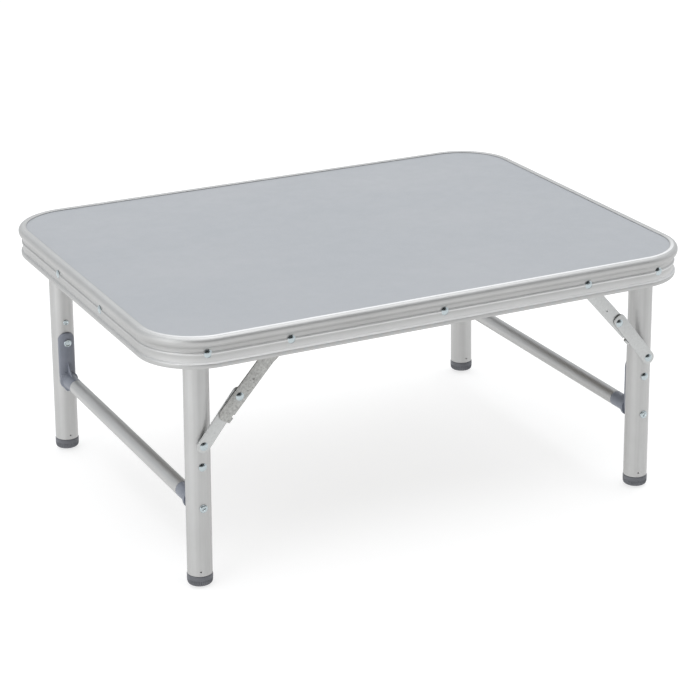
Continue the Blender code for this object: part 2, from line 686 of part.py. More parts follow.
def upper_arm_mesh(maker, near, lift, outward):
    """The arm's strip; its rim end stands higher than the rest by the lift."""
    lower_bends, tail, tab, upper_bends, rim_end = upper_outline()
    outline = lower_bends + tail + tab + upper_bends + rim_end
    faces = []
    for level in (0.0, ARM_THICKNESS):
        ring = []
        for u, v in outline:
            rise = lift if u <= JOGGLE_START else 0.0
            ring.append(maker.verts.new((u, outward * (near + level + rise), v)))
        faces.append(ring)
    count = len(outline)
    low_first, low_second = 0, 1
    up_second = 2 + len(tail) + len(tab)
    up_first = up_second + 1
    for loop in faces:
        maker.faces.new([loop[i] for i in range(low_second, up_second + 1)])
        maker.faces.new([loop[i] for i in (low_first, low_second, up_second, up_first)])
        maker.faces.new([loop[low_first]] + [loop[i] for i in range(up_first, count)])
    for i in range(count):
        j = (i + 1) % count
        maker.faces.new((faces[0][i], faces[0][j], faces[1][j], faces[1][i]))


def lower_outline():
    """From the middle joint at the origin to the foot; the strip's line passes beside the joint."""
    w = LOWER_HALF_WIDTH
    tilt = atan2(LOWER_OFFSET, LOWER_LENGTH)
    reach = LOWER_LENGTH * cos(tilt)
    strip = arc((reach, 0), w, -90, 90, 8)
    strip += arc((-LOWER_TAIL + 0.0025, w - 0.0025), 0.0025, 90, 180, 3)
    strip += arc((-LOWER_TAIL + 0.0025, -w + 0.0025), 0.0025, 180, 270, 3)
    foot = (LOWER_LENGTH, 0.0)
    points = []
    for u, v in strip:
        du = u - reach
        points.append((foot[0] + du * cos(tilt) - v * sin(tilt), foot[1] + du * sin(tilt) + v * cos(tilt)))
    return points


def build_brace(side, end):
    """Upper arm, lower arm and their rivets at one corner."""
    sx, sy = SIDES[side], ENDS[end]
    tag = "{}_{}".format(end, side)
    surface = LEG_Y + LEG_RADIUS
    upper_plane, lower_plane, rim_plane = arm_planes(sx, sy)
    outermost = upper_plane > lower_plane
    flip = Matrix.Diagonal((-1 if sx > 0 else 1, 1, 1, 1))

    def placed(draw, origin, angle):
        """Turn a drawing made along +X in the left-hand plane to its angle and its side."""
        move = flip @ Matrix.Translation((origin[0], 0, origin[1])) @ Matrix.Rotation(-angle, 4, "Y")

        def drawn(maker):
            draw(maker)
            bmesh.ops.transform(maker, matrix=move, verts=maker.verts)

        return drawn

    rim_point = (-BRACE_X, PIVOT_Z)
    joint = (-BRACE_X + UPPER_LENGTH * cos(UPPER_ANGLE), PIVOT_Z + UPPER_LENGTH * sin(UPPER_ANGLE))
    hole_reach = (sy * (surface - 0.002), sy * (surface + 0.012))

    def upper(maker):
        upper_arm_mesh(maker, surface + upper_plane, rim_plane - upper_plane, sy)

    def upper_tab(maker):
        """The tail's edge, bent over the lower arm's edge as a stop."""
        if outermost:
            near, far = surface + lower_plane, surface + upper_plane + ARM_THICKNESS * 0.8
        else:
            near, far = surface + upper_plane + ARM_THICKNESS * 0.2, surface + lower_plane + ARM_THICKNESS
        low, high = sorted((sy * near, sy * far))
        block(maker, (UPPER_LENGTH + TAB_START + 0.0001, low, TAB_INNER),
              (UPPER_LENGTH + TAB_END - 0.0001, high, TAB_OUTER))

    def arm_holes(maker, length):
        """A running fit at the arm's first pivot and a press fit at its second."""
        for u, gap in ((0.0, RUNNING_FIT), (length, FIT_GAP / 2)):
            cylinder(maker, (u, hole_reach[0], 0), (u, hole_reach[1], 0),
                     hole_radius(RIVET_RADIUS, gap), HOLE_SEGMENTS)

    def upper_holes(maker):
        arm_holes(maker, UPPER_LENGTH)

    def foot_notch(maker):
        """Open notch that takes the foot's bush when the brace lies folded."""
        at = BRACE_FOOT_AT - (PIVOT_X - BRACE_X)
        floor = arc((at, 0), BUSH_NOTCH_RADIUS, 0, 180, 8)
        mouth = [(at - 0.0044, -0.009), (at + 0.0080, -0.009), (at + 0.0052, -0.0035)]
        low, high = sorted(hole_reach)
        prism(maker, floor + mouth, low, high)

    def lower(maker):
        near = surface + lower_plane
        low, high = sorted((sy * near, sy * (near + ARM_THICKNESS)))
        prism(maker, lower_outline(), low, high)

    def lower_holes(maker):
        arm_holes(maker, LOWER_LENGTH)

    def joint_rivet(maker):
        seat = surface + PLANE_OUTER + ARM_THICKNESS + HEAD_LIFT
        length = seat - (surface + PLANE_INNER) + HEAD_LIFT
        clinch = CLINCH_HEIGHT - 0.0002
        profile = dome() + [(0.0, RIVET_RADIUS), (-length, RIVET_RADIUS)] + clinched(-length, clinch)
        turned(maker, (0, sy * seat, 0), (0, sy, 0), profile, RIVET_SEGMENTS)

    def foot_rivet(maker):
        seat = surface + lower_plane + ARM_THICKNESS + HEAD_LIFT
        domed_rivet(maker, (0, sy * seat, 0), (0, sy, 0), ARM_THICKNESS + HEAD_LIFT, RIVET_RADIUS, False)

    upper_axis = add_pivot("brace_axis_" + tag, (sx * BRACE_X, 0, PIVOT_Z))
    joint_axis = add_pivot("brace_joint_axis_" + tag, (-sx * joint[0], 0, joint[1]))

    def attach(item, empty):
        item.parent = empty
        item.matrix_parent_inverse = Matrix.Translation(-empty.location)

    arm = add_object("brace_upper_arm_" + tag, placed(upper, rim_point, UPPER_ANGLE), "brace_steel")
    boolean(arm, "join_tab_" + tag, placed(upper_tab, rim_point, UPPER_ANGLE), "UNION")
    boolean(arm, "cut_upper_" + tag, placed(upper_holes, rim_point, UPPER_ANGLE))
    if not outermost:
        boolean(arm, "notch_upper_" + tag, placed(foot_notch, rim_point, UPPER_ANGLE))
    attach(arm, upper_axis)
    rivet = add_object("brace_joint_rivet_" + tag, placed(joint_rivet, joint, UPPER_ANGLE), "rivet_zinc")
    attach(rivet, upper_axis)
    link = add_object("brace_lower_arm_" + tag, placed(lower, joint, LOWER_ANGLE), "brace_steel")
    boolean(link, "cut_lower_" + tag, placed(lower_holes, joint, LOWER_ANGLE))
    attach(link, joint_axis)
    foot = (joint[0] + LOWER_LENGTH * cos(LOWER_ANGLE), joint[1] + LOWER_LENGTH * sin(LOWER_ANGLE))
    foot_item = add_object("brace_foot_rivet_" + tag, placed(foot_rivet, foot, LOWER_ANGLE), "rivet_zinc")
    attach(foot_item, joint_axis)


def main():
    clear_scene()
    build_top()
    build_strips()
    build_rim_pivots()
    for side in SIDES:
        build_leg_pair(side)
    for side in SIDES:
        for end in ENDS:
            build_brace(side, end)


main()
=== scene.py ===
"""The looks of the low folding table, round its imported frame. Metres, +Z up, -Y the front."""

import json
from math import acos, atan2, cos, hypot, pi, radians, sin, sqrt

import bmesh
import bpy
from mathutils import Matrix, Vector


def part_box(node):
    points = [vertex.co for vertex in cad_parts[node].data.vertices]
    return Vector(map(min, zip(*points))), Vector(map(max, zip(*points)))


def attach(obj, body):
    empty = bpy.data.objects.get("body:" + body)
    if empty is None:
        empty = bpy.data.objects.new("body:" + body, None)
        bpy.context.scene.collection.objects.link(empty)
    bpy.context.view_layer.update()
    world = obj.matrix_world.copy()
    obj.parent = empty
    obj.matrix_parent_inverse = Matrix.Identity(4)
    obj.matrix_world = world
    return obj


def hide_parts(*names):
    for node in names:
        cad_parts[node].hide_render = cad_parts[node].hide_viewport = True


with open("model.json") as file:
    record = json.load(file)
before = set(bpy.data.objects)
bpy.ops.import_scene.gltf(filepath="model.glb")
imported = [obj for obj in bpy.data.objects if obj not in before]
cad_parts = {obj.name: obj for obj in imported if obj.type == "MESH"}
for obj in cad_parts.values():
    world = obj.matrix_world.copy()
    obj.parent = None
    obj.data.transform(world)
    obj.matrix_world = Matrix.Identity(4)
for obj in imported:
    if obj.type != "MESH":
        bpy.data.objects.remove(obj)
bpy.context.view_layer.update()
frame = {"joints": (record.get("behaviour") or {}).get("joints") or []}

# ---- Sizes read from the frame --------
SIDES = {"left": -1, "right": 1}
ENDS = {"front": -1, "back": 1}
PLACES = {joint["name"]: joint["pos_m"] for joint in frame["joints"]}

RIM_LOW, RIM_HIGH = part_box("rim_frame")
LENGTH = RIM_HIGH.x - RIM_LOW.x
WIDTH = RIM_HIGH.y - RIM_LOW.y
HEIGHT = RIM_HIGH.z
RIM_DEPTH = RIM_HIGH.z - RIM_LOW.z
PANEL_BOTTOM, PANEL_TOP = (corner.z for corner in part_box("tabletop_panel"))
PIVOT_X = PLACES["fold_right"][0]
PIVOT_Z = PLACES["fold_right"][2]
BRACE_X = PLACES["brace_pivot_front_right"][0]
JOINT_X = PLACES["brace_joint_front_right"][0]
JOINT_Z = PLACES["brace_joint_front_right"][2]


def middle(node):
    low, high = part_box(node)
    return (low + high) / 2


def half_size(node):
    low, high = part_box(node)
    return (high - low) / 2


FOOT = middle("foot_cap_front_right")
LEG_Y = -FOOT.y
FOOT_RADIUS = half_size("foot_cap_front_right").y
LEG_RADIUS = half_size("leg_front_right").y
SURFACE = LEG_Y + LEG_RADIUS  # the legs' outermost line, in |y|
BAR_RADIUS = half_size("crossbar_right").z
BAR_END = half_size("crossbar_right").y
SPLAY = atan2(FOOT.x - PIVOT_X, PIVOT_Z - FOOT.z)
LEG_LENGTH = PIVOT_Z / cos(SPLAY)


def along_leg(node):
    """How far down a leg from its pivot a piece's middle lies."""
    return (PIVOT_Z - middle(node).z) / cos(SPLAY)


BRACE_FOOT_AT = along_leg("brace_foot_stud_front_right")
BRACKET_RIVET_AT = along_leg("bracket_rivet_front_right")
BAR_AT = along_leg("crossbar_right")
BRACKET_TIP_AT, BRACKET_TOP_AT = ((PIVOT_Z - corner.z) / cos(SPLAY)
                                  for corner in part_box("crossbar_bracket_front_right"))

UPPER_LENGTH = hypot(JOINT_X - BRACE_X, JOINT_Z - PIVOT_Z)
FOOT_X = PIVOT_X + BRACE_FOOT_AT * sin(SPLAY)
FOOT_Z = PIVOT_Z - BRACE_FOOT_AT * cos(SPLAY)
LOWER_LENGTH = hypot(FOOT_X - JOINT_X, FOOT_Z - JOINT_Z)
UPPER_ANGLE = atan2(JOINT_Z - PIVOT_Z, -JOINT_X + BRACE_X)
LOWER_ANGLE = atan2(FOOT_Z - JOINT_Z, -FOOT_X + JOINT_X)

# ---- Sizes of the detail --------
CORNER_RADIUS = 0.063
RIVET_FACE = 0.0035  # rim rivets' seat, in from the rim's outermost plane
LEG_WALL = 0.0012
ARM_THICKNESS = 0.0015
PLANE_INNER = 0.0026
PLANE_OUTER = 0.0044
PLANE_HIGH = 0.0060
UPPER_HALF_WIDTH = 0.0075
LOWER_HALF_WIDTH = 0.0070
UPPER_TAIL = 0.0285
LOWER_TAIL = 0.0077
HEAD_RADIUS = 0.0042
HEAD_HEIGHT = 0.0017
LOW_HEAD_HEIGHT = 0.0014  # on the foot rivets that the folded upper arm passes
SHANK_RADIUS = 0.0020
LEG_SHANK_RADIUS = 0.0025  # of the leg pairs' pivots


# ---- Node material helpers --------
class Nodes:
    """A node tree, with short ways to add and join its nodes."""

    def __init__(self, tree):
        self.tree = tree

    def fill(self, node, sockets):
        """Set a node's inputs, whose names have _ for a space."""
        for name, value in sockets.items():
            node.inputs[name.replace("_", " ")].default_value = value
        return node

    def add(self, kind, **sockets):
        return self.fill(self.tree.nodes.new("ShaderNode" + kind), sockets)

    def link(self, source, target):
        self.tree.links.new(source, target)

    def remap(self, value, low, high, new_low, new_high):
        node = self.add("MapRange", From_Min=low, From_Max=high, To_Min=new_low, To_Max=new_high)
        self.link(value, node.inputs["Value"])
        return node.outputs["Result"]

    def math(self, operation, *values):
        """A sum over numbers and other nodes' outputs."""
        node = self.add("Math")
        node.operation = operation
        for socket, value in zip(node.inputs, values):
            if isinstance(value, float):
                socket.default_value = value
            else:
                self.link(value, socket)
        return node.outputs["Value"]


class Material(Nodes):
    """One material round a Principled shader."""

    def __init__(self, name, **sockets):
        self.material = bpy.data.materials.new(name)
        self.material.use_nodes = True
        super().__init__(self.material.node_tree)
        self.shader = self.fill(self.tree.nodes["Principled BSDF"], sockets)

    def stored(self):
        """The grain on the piece's mesh: along it, across it, and one value more."""
        source = self.add("Attribute")
        source.attribute_name = "grain"
        return source.outputs["Vector"]

    def scaled(self, vector, scale):
        mapping = self.add("Mapping", Scale=scale)
        self.link(vector, mapping.inputs["Vector"])
        return mapping.outputs["Vector"]

    def grain(self, along, across):
        """Coordinates along and across the piece's own grain."""
        return self.scaled(self.stored(), (along, across, across))

    def third_value(self):
        """The grain's third value, which marks painted highlights on the rim's crests or the
        panel's underside.
        """
        split = self.add("SeparateXYZ")
        self.link(self.stored(), split.inputs["Vector"])
        return split.outputs["Z"]

    def place(self, scale=(1.0, 1.0, 1.0)):
        """Coordinates of the piece at rest."""
        return self.scaled(self.add("TexCoord").outputs["Object"], scale)

    def noise(self, scale, detail=3.0, roughness=0.5, vector=None):
        node = self.add("TexNoise", Scale=scale, Detail=detail, Roughness=roughness)
        self.link(vector or self.place(), node.inputs["Vector"])
        return node.outputs["Fac"]

    def spots(self, scale, low, high):
        """Round spots: 1 at their middles, 0 between them."""
        node = self.add("TexVoronoi", Scale=scale)
        self.link(self.place(), node.inputs["Vector"])
        return self.remap(node.outputs["Distance"], low, high, 1.0, 0.0)

    def blend(self, factor, first, second):
        """Mix two colours; each is a tuple or another node's output."""
        node = self.add("Mix")
        node.data_type = "RGBA"
        self.link(factor, node.inputs[0])
        for slot, value in ((6, first), (7, second)):
            if isinstance(value, tuple):
                node.inputs[slot].default_value = (*value, 1.0)
            else:
                self.link(value, node.inputs[slot])
        return node.outputs[2]

    def drive(self, colour, roughness):
        self.link(colour, self.shader.inputs["Base Color"])
        self.link(roughness, self.shader.inputs["Roughness"])

    def bump(self, height, distance, strength=1.0):
        """Add a bump over the ones before it."""
        node = self.add("Bump", Distance=distance, Strength=strength)
        normal = self.shader.inputs["Normal"]
        if normal.is_linked:
            self.link(normal.links[0].from_socket, node.inputs["Normal"])
        self.link(height, node.inputs["Height"])
        self.link(node.outputs["Normal"], normal)


def drawn_aluminium(name, light, dark, rough, painted_highlight=None):
    """Satin drawn or extruded aluminium: fine lines along the grain, faint cloudiness and nicks.

    Where the grain's third value is 1, a crest gets a painted highlight, almost to the highlight
    colour.
    """
    made = Material(name, Metallic=1.0)
    fine = made.noise(1.0, 4.0, vector=made.grain(9.0, 2600.0))
    broad = made.noise(1.0, vector=made.grain(3.0, 240.0))
    cloud = made.math("MULTIPLY", made.noise(22.0, 4.0, 0.6), 0.4)
    tone = made.math("MULTIPLY_ADD", broad, 0.6, cloud)
    base = made.blend(made.remap(tone, 0.35, 0.65, 0.0, 1.0), dark, light)
    if painted_highlight:
        # Painted highlight: where the grain's third value is set, the colour is lightened towards a
        # near-white.
        base = made.blend(made.math("MULTIPLY", made.third_value(), 0.9), base, painted_highlight)
    made.drive(base, made.remap(fine, 0.3, 0.7, *rough))
    made.bump(fine, 0.00002)
    made.bump(made.spots(150.0, 0.02, 0.09), -0.00003)
    return made.material


def plated_steel(name, light, dark, rough, pits):
    """Rolled, plated steel strip: mottled tone, cross scratches and small pits."""
    made = Material(name, Metallic=1.0)
    scratch = made.noise(1.0, vector=made.grain(40.0, 1800.0))
    mottle = made.noise(420.0, 5.0, 0.65)
    marks = made.spots(210.0, 0.05, 0.16)
    tone = made.blend(made.remap(mottle, 0.35, 0.65, 0.0, 1.0), dark, light)
    stain = tuple(0.55 * value for value in dark)
    made.drive(made.blend(made.math("MULTIPLY", marks, pits), tone, stain),
               made.remap(mottle, 0.3, 0.7, *rough))
    made.bump(scratch, 0.00003)
    made.bump(mottle, 0.00005)
    made.bump(marks, -0.00008, pits)
    return made.material


def bright_zinc(name, tint, rough):
    """Polished zinc of rivets and screws, with a faint draw texture."""
    made = Material(name, Metallic=1.0)
    swirl = made.noise(900.0)
    made.drive(made.blend(made.noise(260.0), tuple(0.86 * value for value in tint), tint),
               made.remap(swirl, 0.3, 0.7, *rough))
    made.bump(swirl, 0.00001)
    return made.material


def laminate(name):
    """The panel's grey laminate, with orange-peel and faint clouds, and its brown backing."""
    made = Material(name, Metallic=0.0, Coat_Weight=0.25, Coat_Roughness=0.22)
    fleck = made.noise(1500.0, 2.0)
    cloud = made.noise(5.0, vector=made.place((1.0, 1.6, 1.0)))
    tone = made.blend(made.remap(cloud, 0.35, 0.65, 0.0, 1.0),
                      (0.330, 0.345, 0.368), (0.345, 0.357, 0.378))
    face = made.blend(made.remap(fleck, 0.42, 0.75, 0.0, 0.35), tone, (0.395, 0.405, 0.42))
    backing = made.blend(made.noise(700.0, 4.0), (0.10, 0.085, 0.07), (0.20, 0.17, 0.14))
    made.drive(made.blend(made.third_value(), face, backing),
               made.remap(made.noise(40.0, 5.0, 0.7), 0.3, 0.7, 0.33, 0.45))
    made.bump(made.noise(330.0), 0.00003)
    made.bump(fleck, 0.000008)
    return made.material


def moulded_plastic(name, light, dark, rough):
    """Moulded plastic with a fine spark texture and a little dust in the low tones."""
    made = Material(name, Metallic=0.0)
    cloud = made.noise(70.0, 4.0)
    made.drive(made.blend(made.remap(cloud, 0.3, 0.7, 0.0, 1.0), dark, light),
               made.remap(cloud, 0.3, 0.7, *reversed(rough)))
    made.bump(made.noise(2200.0), 0.00004)
    return made.material


LOOKS = {
    # The rim's look carries a near-white painted highlight colour for its crests.
    "rim_aluminium": drawn_aluminium(
        "rim_aluminium_look", (0.530, 0.530, 0.525), (0.480, 0.480, 0.475), (0.50, 0.62),
        painted_highlight=(0.90, 0.90, 0.90)),
    "leg_aluminium": drawn_aluminium(
        "leg_aluminium_look", (0.540, 0.540, 0.535), (0.488, 0.488, 0.483), (0.44, 0.56)),
    "panel_laminate": laminate("panel_laminate_look"),
    "upper_steel": plated_steel(
        "upper_arm_look", (0.50, 0.50, 0.485), (0.29, 0.29, 0.28), (0.34, 0.56), 0.9),
    "lower_steel": plated_steel(
        "lower_arm_look", (0.54, 0.55, 0.545), (0.47, 0.475, 0.47), (0.32, 0.46), 0.3),
    "strip_steel": plated_steel(
        "strip_look", (0.66, 0.66, 0.65), (0.54, 0.54, 0.53), (0.34, 0.52), 0.4),
    "rivet_zinc": bright_zinc("rivet_look", (0.50, 0.56, 0.58), (0.19, 0.29)),
    "bracket_plastic": moulded_plastic(
        "bracket_look", (0.215, 0.232, 0.275), (0.180, 0.195, 0.232), (0.34, 0.48)),
    "foot_plastic": moulded_plastic(
        "foot_look", (0.150, 0.155, 0.172), (0.120, 0.125, 0.138), (0.42, 0.60)),
}


# ---- Mesh helpers --------
def add_object(name, data):
    item = bpy.data.objects.new(name, data)
    bpy.context.scene.collection.objects.link(item)
    return item


def as_object(name, maker):
    """Turn a filled bmesh into an object."""
    bmesh.ops.recalc_face_normals(maker, faces=maker.faces)
    mesh = bpy.data.meshes.new(name)
    maker.to_mesh(mesh)
    maker.free()
    return add_object(name, mesh)


def finish_piece(name, maker, grain, look, body, nodes, smooth=35.0):
    """Turn a filled bmesh into a piece: its grain, material, body and CAD nodes."""
    item = as_object(name, maker)
    attribute = item.data.attributes.new("grain", "FLOAT_VECTOR", "POINT")
    for vertex, value in zip(item.data.vertices, attribute.data):
        value.vector = grain(vertex.co)
    item.data.materials.append(LOOKS[look])
    item.data.shade_smooth()
    item.data.set_sharp_from_angle(angle=radians(smooth))
    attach(item, body)
    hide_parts(*nodes)


def scratch(fill):
    """A helper object, filled by a function."""
    maker = bmesh.new()
    fill(maker)
    return as_object("scratch", maker)


def discard(item):
    mesh = item.data
    bpy.data.objects.remove(item)
    bpy.data.meshes.remove(mesh)


def apply_modifiers(item):
    """Bake an object's modifiers into its mesh."""
    bpy.context.view_layer.update()
    evaluated = item.evaluated_get(bpy.context.evaluated_depsgraph_get())
    baked = bpy.data.meshes.new_from_object(evaluated)
    item.modifiers.clear()
    old, item.data = item.data, baked
    bpy.data.meshes.remove(old)


def combine_with(base, operation, tool):
    """Boolean one helper with another and throw the second away."""
    modifier = base.modifiers.new(operation, "BOOLEAN")
    modifier.operation = operation
    modifier.solver = "EXACT"
    modifier.object = tool
    apply_modifiers(base)
    discard(tool)


def combine(base, operation, fill):
    """Boolean a helper with the solid that a function fills."""
    combine_with(base, operation, scratch(fill))


def bevel(item, width, segments, angle):
    modifier = item.modifiers.new("Bevel", "BEVEL")
    modifier.width = width
    modifier.segments = segments
    modifier.limit_method = "ANGLE"
    modifier.angle_limit = radians(angle)
    apply_modifiers(item)


def as_bmesh(item):
    """Take a helper's mesh back into a bmesh and remove the helper."""
    maker = bmesh.new()
    maker.from_mesh(item.data)
    discard(item)
    return maker


def skin(maker, first, second):
    """Faces between two rings of vertices."""
    count = len(first)
    for i in range(count):
        j = (i + 1) % count
        maker.faces.new((first[i], first[j], second[j], second[i]))


def loft(maker, rings, closed=False):
    """Skin a row of rings, and cap both ends unless the row closes on itself."""
    loops = [[maker.verts.new(point) for point in ring] for ring in rings]
    for first, second in zip(loops, loops[1:] + loops[:1] if closed else loops[1:]):
        skin(maker, first, second)
    if not closed:
        maker.faces.new(loops[0])
        maker.faces.new(list(reversed(loops[-1])))
    return loops


def rings_round(origin, axis, segments):
    """A function that gives a ring of points at a distance along an axis and a radius."""
    origin, axis = Vector(origin), Vector(axis).normalized()
    helper = Vector((0, 0, 1)) if abs(axis.z) < 0.9 else Vector((1, 0, 0))
    across = axis.cross(helper).normalized()
    up = axis.cross(across)
    turns = [2 * pi * i / segments for i in range(segments)]
    return lambda along, radius: [
        origin + axis * along + radius * (cos(t) * across + sin(t) * up) for t in turns]


def turned(maker, origin, axis, profile, segments):
    """A solid of revolution: profile points are (distance along the axis, radius)."""
    ring = rings_round(origin, axis, segments)
    loops = []
    for along, radius in profile:
        points = ring(along, radius) if radius > 0.0 else ring(along, 0.0)[:1]
        loops.append([maker.verts.new(point) for point in points])
    for first, second in zip(loops, loops[1:]):
        if len(first) == len(second):
            skin(maker, first, second)
            continue
        (tip,), base = sorted((first, second), key=len)
        for i in range(segments):
            maker.faces.new((tip, base[i], base[(i + 1) % segments]))
    for loop in (loops[0], loops[-1]):
        if len(loop) > 1:
            maker.faces.new(loop)


def turned_ring(maker, origin, axis, profile, segments):
    """Like turned, for a closed profile that doesn't reach the axis."""
    ring = rings_round(origin, axis, segments)
    loft(maker, list(zip(*[ring(along, radius) for along, radius in profile])), closed=True)


def prism(maker, outline, near, far):
    """Extrude an outline of (x, z) points along Y."""
    loft(maker, [[(x, y, z) for x, z in outline] for y in (near, far)])


def arc(centre, radius, start, end, steps):
    turns = [radians(start + (end - start) * i / steps) for i in range(steps + 1)]
    return [(centre[0] + radius * cos(t), centre[1] + radius * sin(t)) for t in turns]


FILLET_STEPS = 4


def fillet(start, corner, end, radius):
    """Points that round off one corner of an outline."""
    start, corner, end = Vector(start), Vector(corner), Vector(end)
    first, second = (start - corner).normalized(), (end - corner).normalized()
    half = acos(max(-1.0, min(1.0, first.dot(second)))) / 2
    reach = min(radius / max(1e-6, sin(half) / cos(half)), (start - corner).length * 0.48,
                (end - corner).length * 0.48)
    points = []
    for i in range(FILLET_STEPS + 1):
        t = i / FILLET_STEPS
        a, b = corner + first * reach * (1 - t), corner + second * reach * t
        points.append(tuple(a.lerp(b, t)))
    return points


def rounded(points, radii):
    """Round every corner of a closed outline; radii are one for each point, 0 keeps it sharp."""
    made = []
    for i, radius in enumerate(radii):
        if radius:
            made += fillet(points[i - 1], points[i], points[(i + 1) % len(points)], radius)
        else:
            made.append(tuple(points[i]))
    return made


# ---- Table top --------
CORNER_STEPS = 28
HALF_GAP = 0.00015  # half of the gap in the rim's butt joint


def plan_outline(inset):
    """Plan of the table top, moved in by an inset, counter-clockwise from the back right."""
    half_x = LENGTH / 2 - CORNER_RADIUS
    half_y = WIDTH / 2 - CORNER_RADIUS
    corners = ((half_x, half_y), (-half_x, half_y), (-half_x, -half_y), (half_x, -half_y))
    points = []
    for quarter, centre in enumerate(corners):
        start = quarter * 90
        points += arc(centre, CORNER_RADIUS - inset, start, start + 90, CORNER_STEPS)
    return points


def rim_section():
    """Closed section of the extruded rim, and how much painted highlight each of its crests gets.

    The points are (inset from its outermost plane, depth below its top): a round bead with a rolled
    inner lip, a cove under it, a flat neck with a small ridge above it, a step out to the lower
    band, and a rolled bottom with a flange inside. Under the bead a ledge holds the panel.
    """
    bead = [(0.0046 - 0.0046 * cos(t), 0.0048 - 0.0048 * sin(t))
            for t in [radians(90 - 90 * i / 10) for i in range(11)]]
    cove = [(0.0001, 0.0064), (0.0006, 0.0078), (0.0014, 0.0091), (0.0025, 0.0103),
            (0.0034, 0.0116), (0.0039, 0.0131), (0.0040, 0.0148)]
    ridge = [(0.0039, 0.0154), (0.0034, 0.0158), (0.0030, 0.0161), (0.0028, 0.0166),
             (0.0029, 0.0174), (0.0033, 0.0184)]
    neck = [(0.0036, 0.0198), (0.0037, 0.0254)]
    step = [(0.0021, 0.0267), (0.0019, 0.0272)]
    band = [(0.0019, 0.0296), (0.0021, 0.0305), (0.0026, 0.0312), (0.0034, RIM_DEPTH)]
    flange = [(0.0090, RIM_DEPTH), (0.0095, 0.0313), (0.0095, 0.0304), (0.0091, 0.0301),
              (0.0058, 0.0301), (0.0052, 0.0296)]
    ledge = [(0.0052, 0.0052), (0.0056, 0.0047), (0.0116, 0.0047), (0.0120, 0.0044),
             (0.0120, 0.0036), (0.0116, 0.0033), (0.0065, 0.0033)]
    lip = [(0.0065, 0.0009), (0.0080, 0.0009), (0.0083, 0.0007), (0.0082, 0.0004),
           (0.0077, 0.0001), (0.0070, 0.0)]
    # Painted highlights: how far the ridge, step, lip and bead crests are lightened towards the
    # highlight colour.
    painted_highlight_share = dict.fromkeys(ridge[1:5], 0.45)
    painted_highlight_share.update({neck[1]: 0.5, step[0]: 0.8})
    painted_highlight_share.update(dict.fromkeys(lip[-1:] + bead[:1], 1.0))
    painted_highlight_share.update({point: 0.15 for point in bead[2:8]})
    return bead + cove + ridge + neck + step + band + flange + ledge + lip, painted_highlight_share


def distances(points):
    """How far along a line of points each one lies."""
    made = [0.0]
    for first, second in zip(points, points[1:]):
        made.append(made[-1] + hypot(second[0] - first[0], second[1] - first[1]))
    return made


def build_rim():
    """The rim, swept round the plan from its butt joint at the middle of the back."""
    section, painted_highlight_share = rim_section()
    start = CORNER_STEPS + 1
    outlines = [outline[start:] + outline[:start]
                for outline in (plan_outline(inset) for inset, depth in section)]
    stations = [[(-HALF_GAP, outline[0][1]) for outline in outlines], *zip(*outlines),
                [(HALF_GAP, outline[0][1]) for outline in outlines]]
    maker = bmesh.new()
    loops = loft(maker, [[(*point, HEIGHT - depth) for point, (inset, depth) in
                          zip(station, section)] for station in stations])
    places = {}
    for loop, length in zip(loops, distances([station[0] for station in stations])):
        for vertex, across, point in zip(loop, distances(section), section):
            places[tuple(round(c, 6) for c in vertex.co)] = (length, across, painted_highlight_share.get(point, 0.0))

    def grain(point):
        """The painted highlight is strong on the front side and faint on the other sides."""
        length, across, highlight_amount = places[tuple(round(c, 6) for c in point)]
        front = min(1.0, max(0.0, (-point.y - WIDTH / 2 + CORNER_RADIUS) / (CORNER_RADIUS * 0.9)))
        return length, across, highlight_amount * (0.08 + 0.92 * front)

    finish_piece("rim_extrusion", maker, grain, "rim_aluminium", "table_top", ["rim_frame"], 28.0)


def build_panel():
    """The board, eased where the rim's lip covers it."""
    maker = bmesh.new()
    section = [(0.0068, PANEL_BOTTOM), (0.0068, PANEL_TOP - 0.0006), (0.0071, PANEL_TOP - 0.0002),
               (0.0078, PANEL_TOP - 0.00004), (0.0090, PANEL_TOP)]
    loft(maker, [[(x, y, z) for x, y in plan_outline(inset)] for inset, z in section])

    def grain(point):
        return point.x, point.y, 1.0 if point.z < PANEL_BOTTOM + 0.0001 else 0.0

    finish_piece("panel_board", maker, grain, "panel_laminate", "table_top", ["tabletop_panel"])


STRIP_PLATE = 0.0012
RAIL_INSET = 0.0055  # of the side rails' outer face, from the rim's side


def angle_strip(maker, outward, half_width, wall, reach, foot, top):
    """A pressed angle with a round inside bend, between two distances out from the middle."""
    along = Vector((-outward.y, outward.x, 0))
    inside = wall - STRIP_PLATE
    corners = [(wall, foot), (wall, top), (reach, top), (reach, top - STRIP_PLATE),
               (inside, top - STRIP_PLATE), (inside, foot)]
    section = rounded(corners, [0, STRIP_PLATE * 1.4, 0.0003, 0.0003, STRIP_PLATE * 0.5, 0])
    loft(maker, [[outward * d + along * step + Vector((0, 0, z)) for d, z in section]
                 for step in (-half_width, half_width)])


def build_strips():
    """The rails, the splice and the clip inside the rim, each taken from its node's box."""
    strips = {"panel_clip_front": (0, -1, 0), "rim_splice": (0, 1, 0),
              "support_rail_left": (-1, 0, 0), "support_rail_right": (1, 0, 0)}
    for node, outward in strips.items():
        low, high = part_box(node)
        outward = Vector(outward)
        reach, wall = sorted((low.dot(outward), high.dot(outward)))
        half = (high.x - low.x) / 2
        if outward.x:
            wall, half = LENGTH / 2 - RAIL_INSET, (high.y - low.y) / 2
        strip = scratch(lambda maker: angle_strip(maker, outward, half, wall, reach, low.z, high.z))
        bevel(strip, 0.00025, 2, 50.0)
        finish_piece(node + "_strip", as_bmesh(strip), lambda p: (p.x + p.y, p.z, 0.0),
                     "strip_steel", "table_top", [node])


# ---- Rivets and screws --------
RIVET_SEGMENTS = 32
HEAD_EDGE = 0.0003
CLINCH_HEIGHT = 0.0008  # of a rivet's spread tail
RIM_GRIP = 0.0036  # what the rim's other rivets hold together
SIDE_RIVET_Y = 0.060


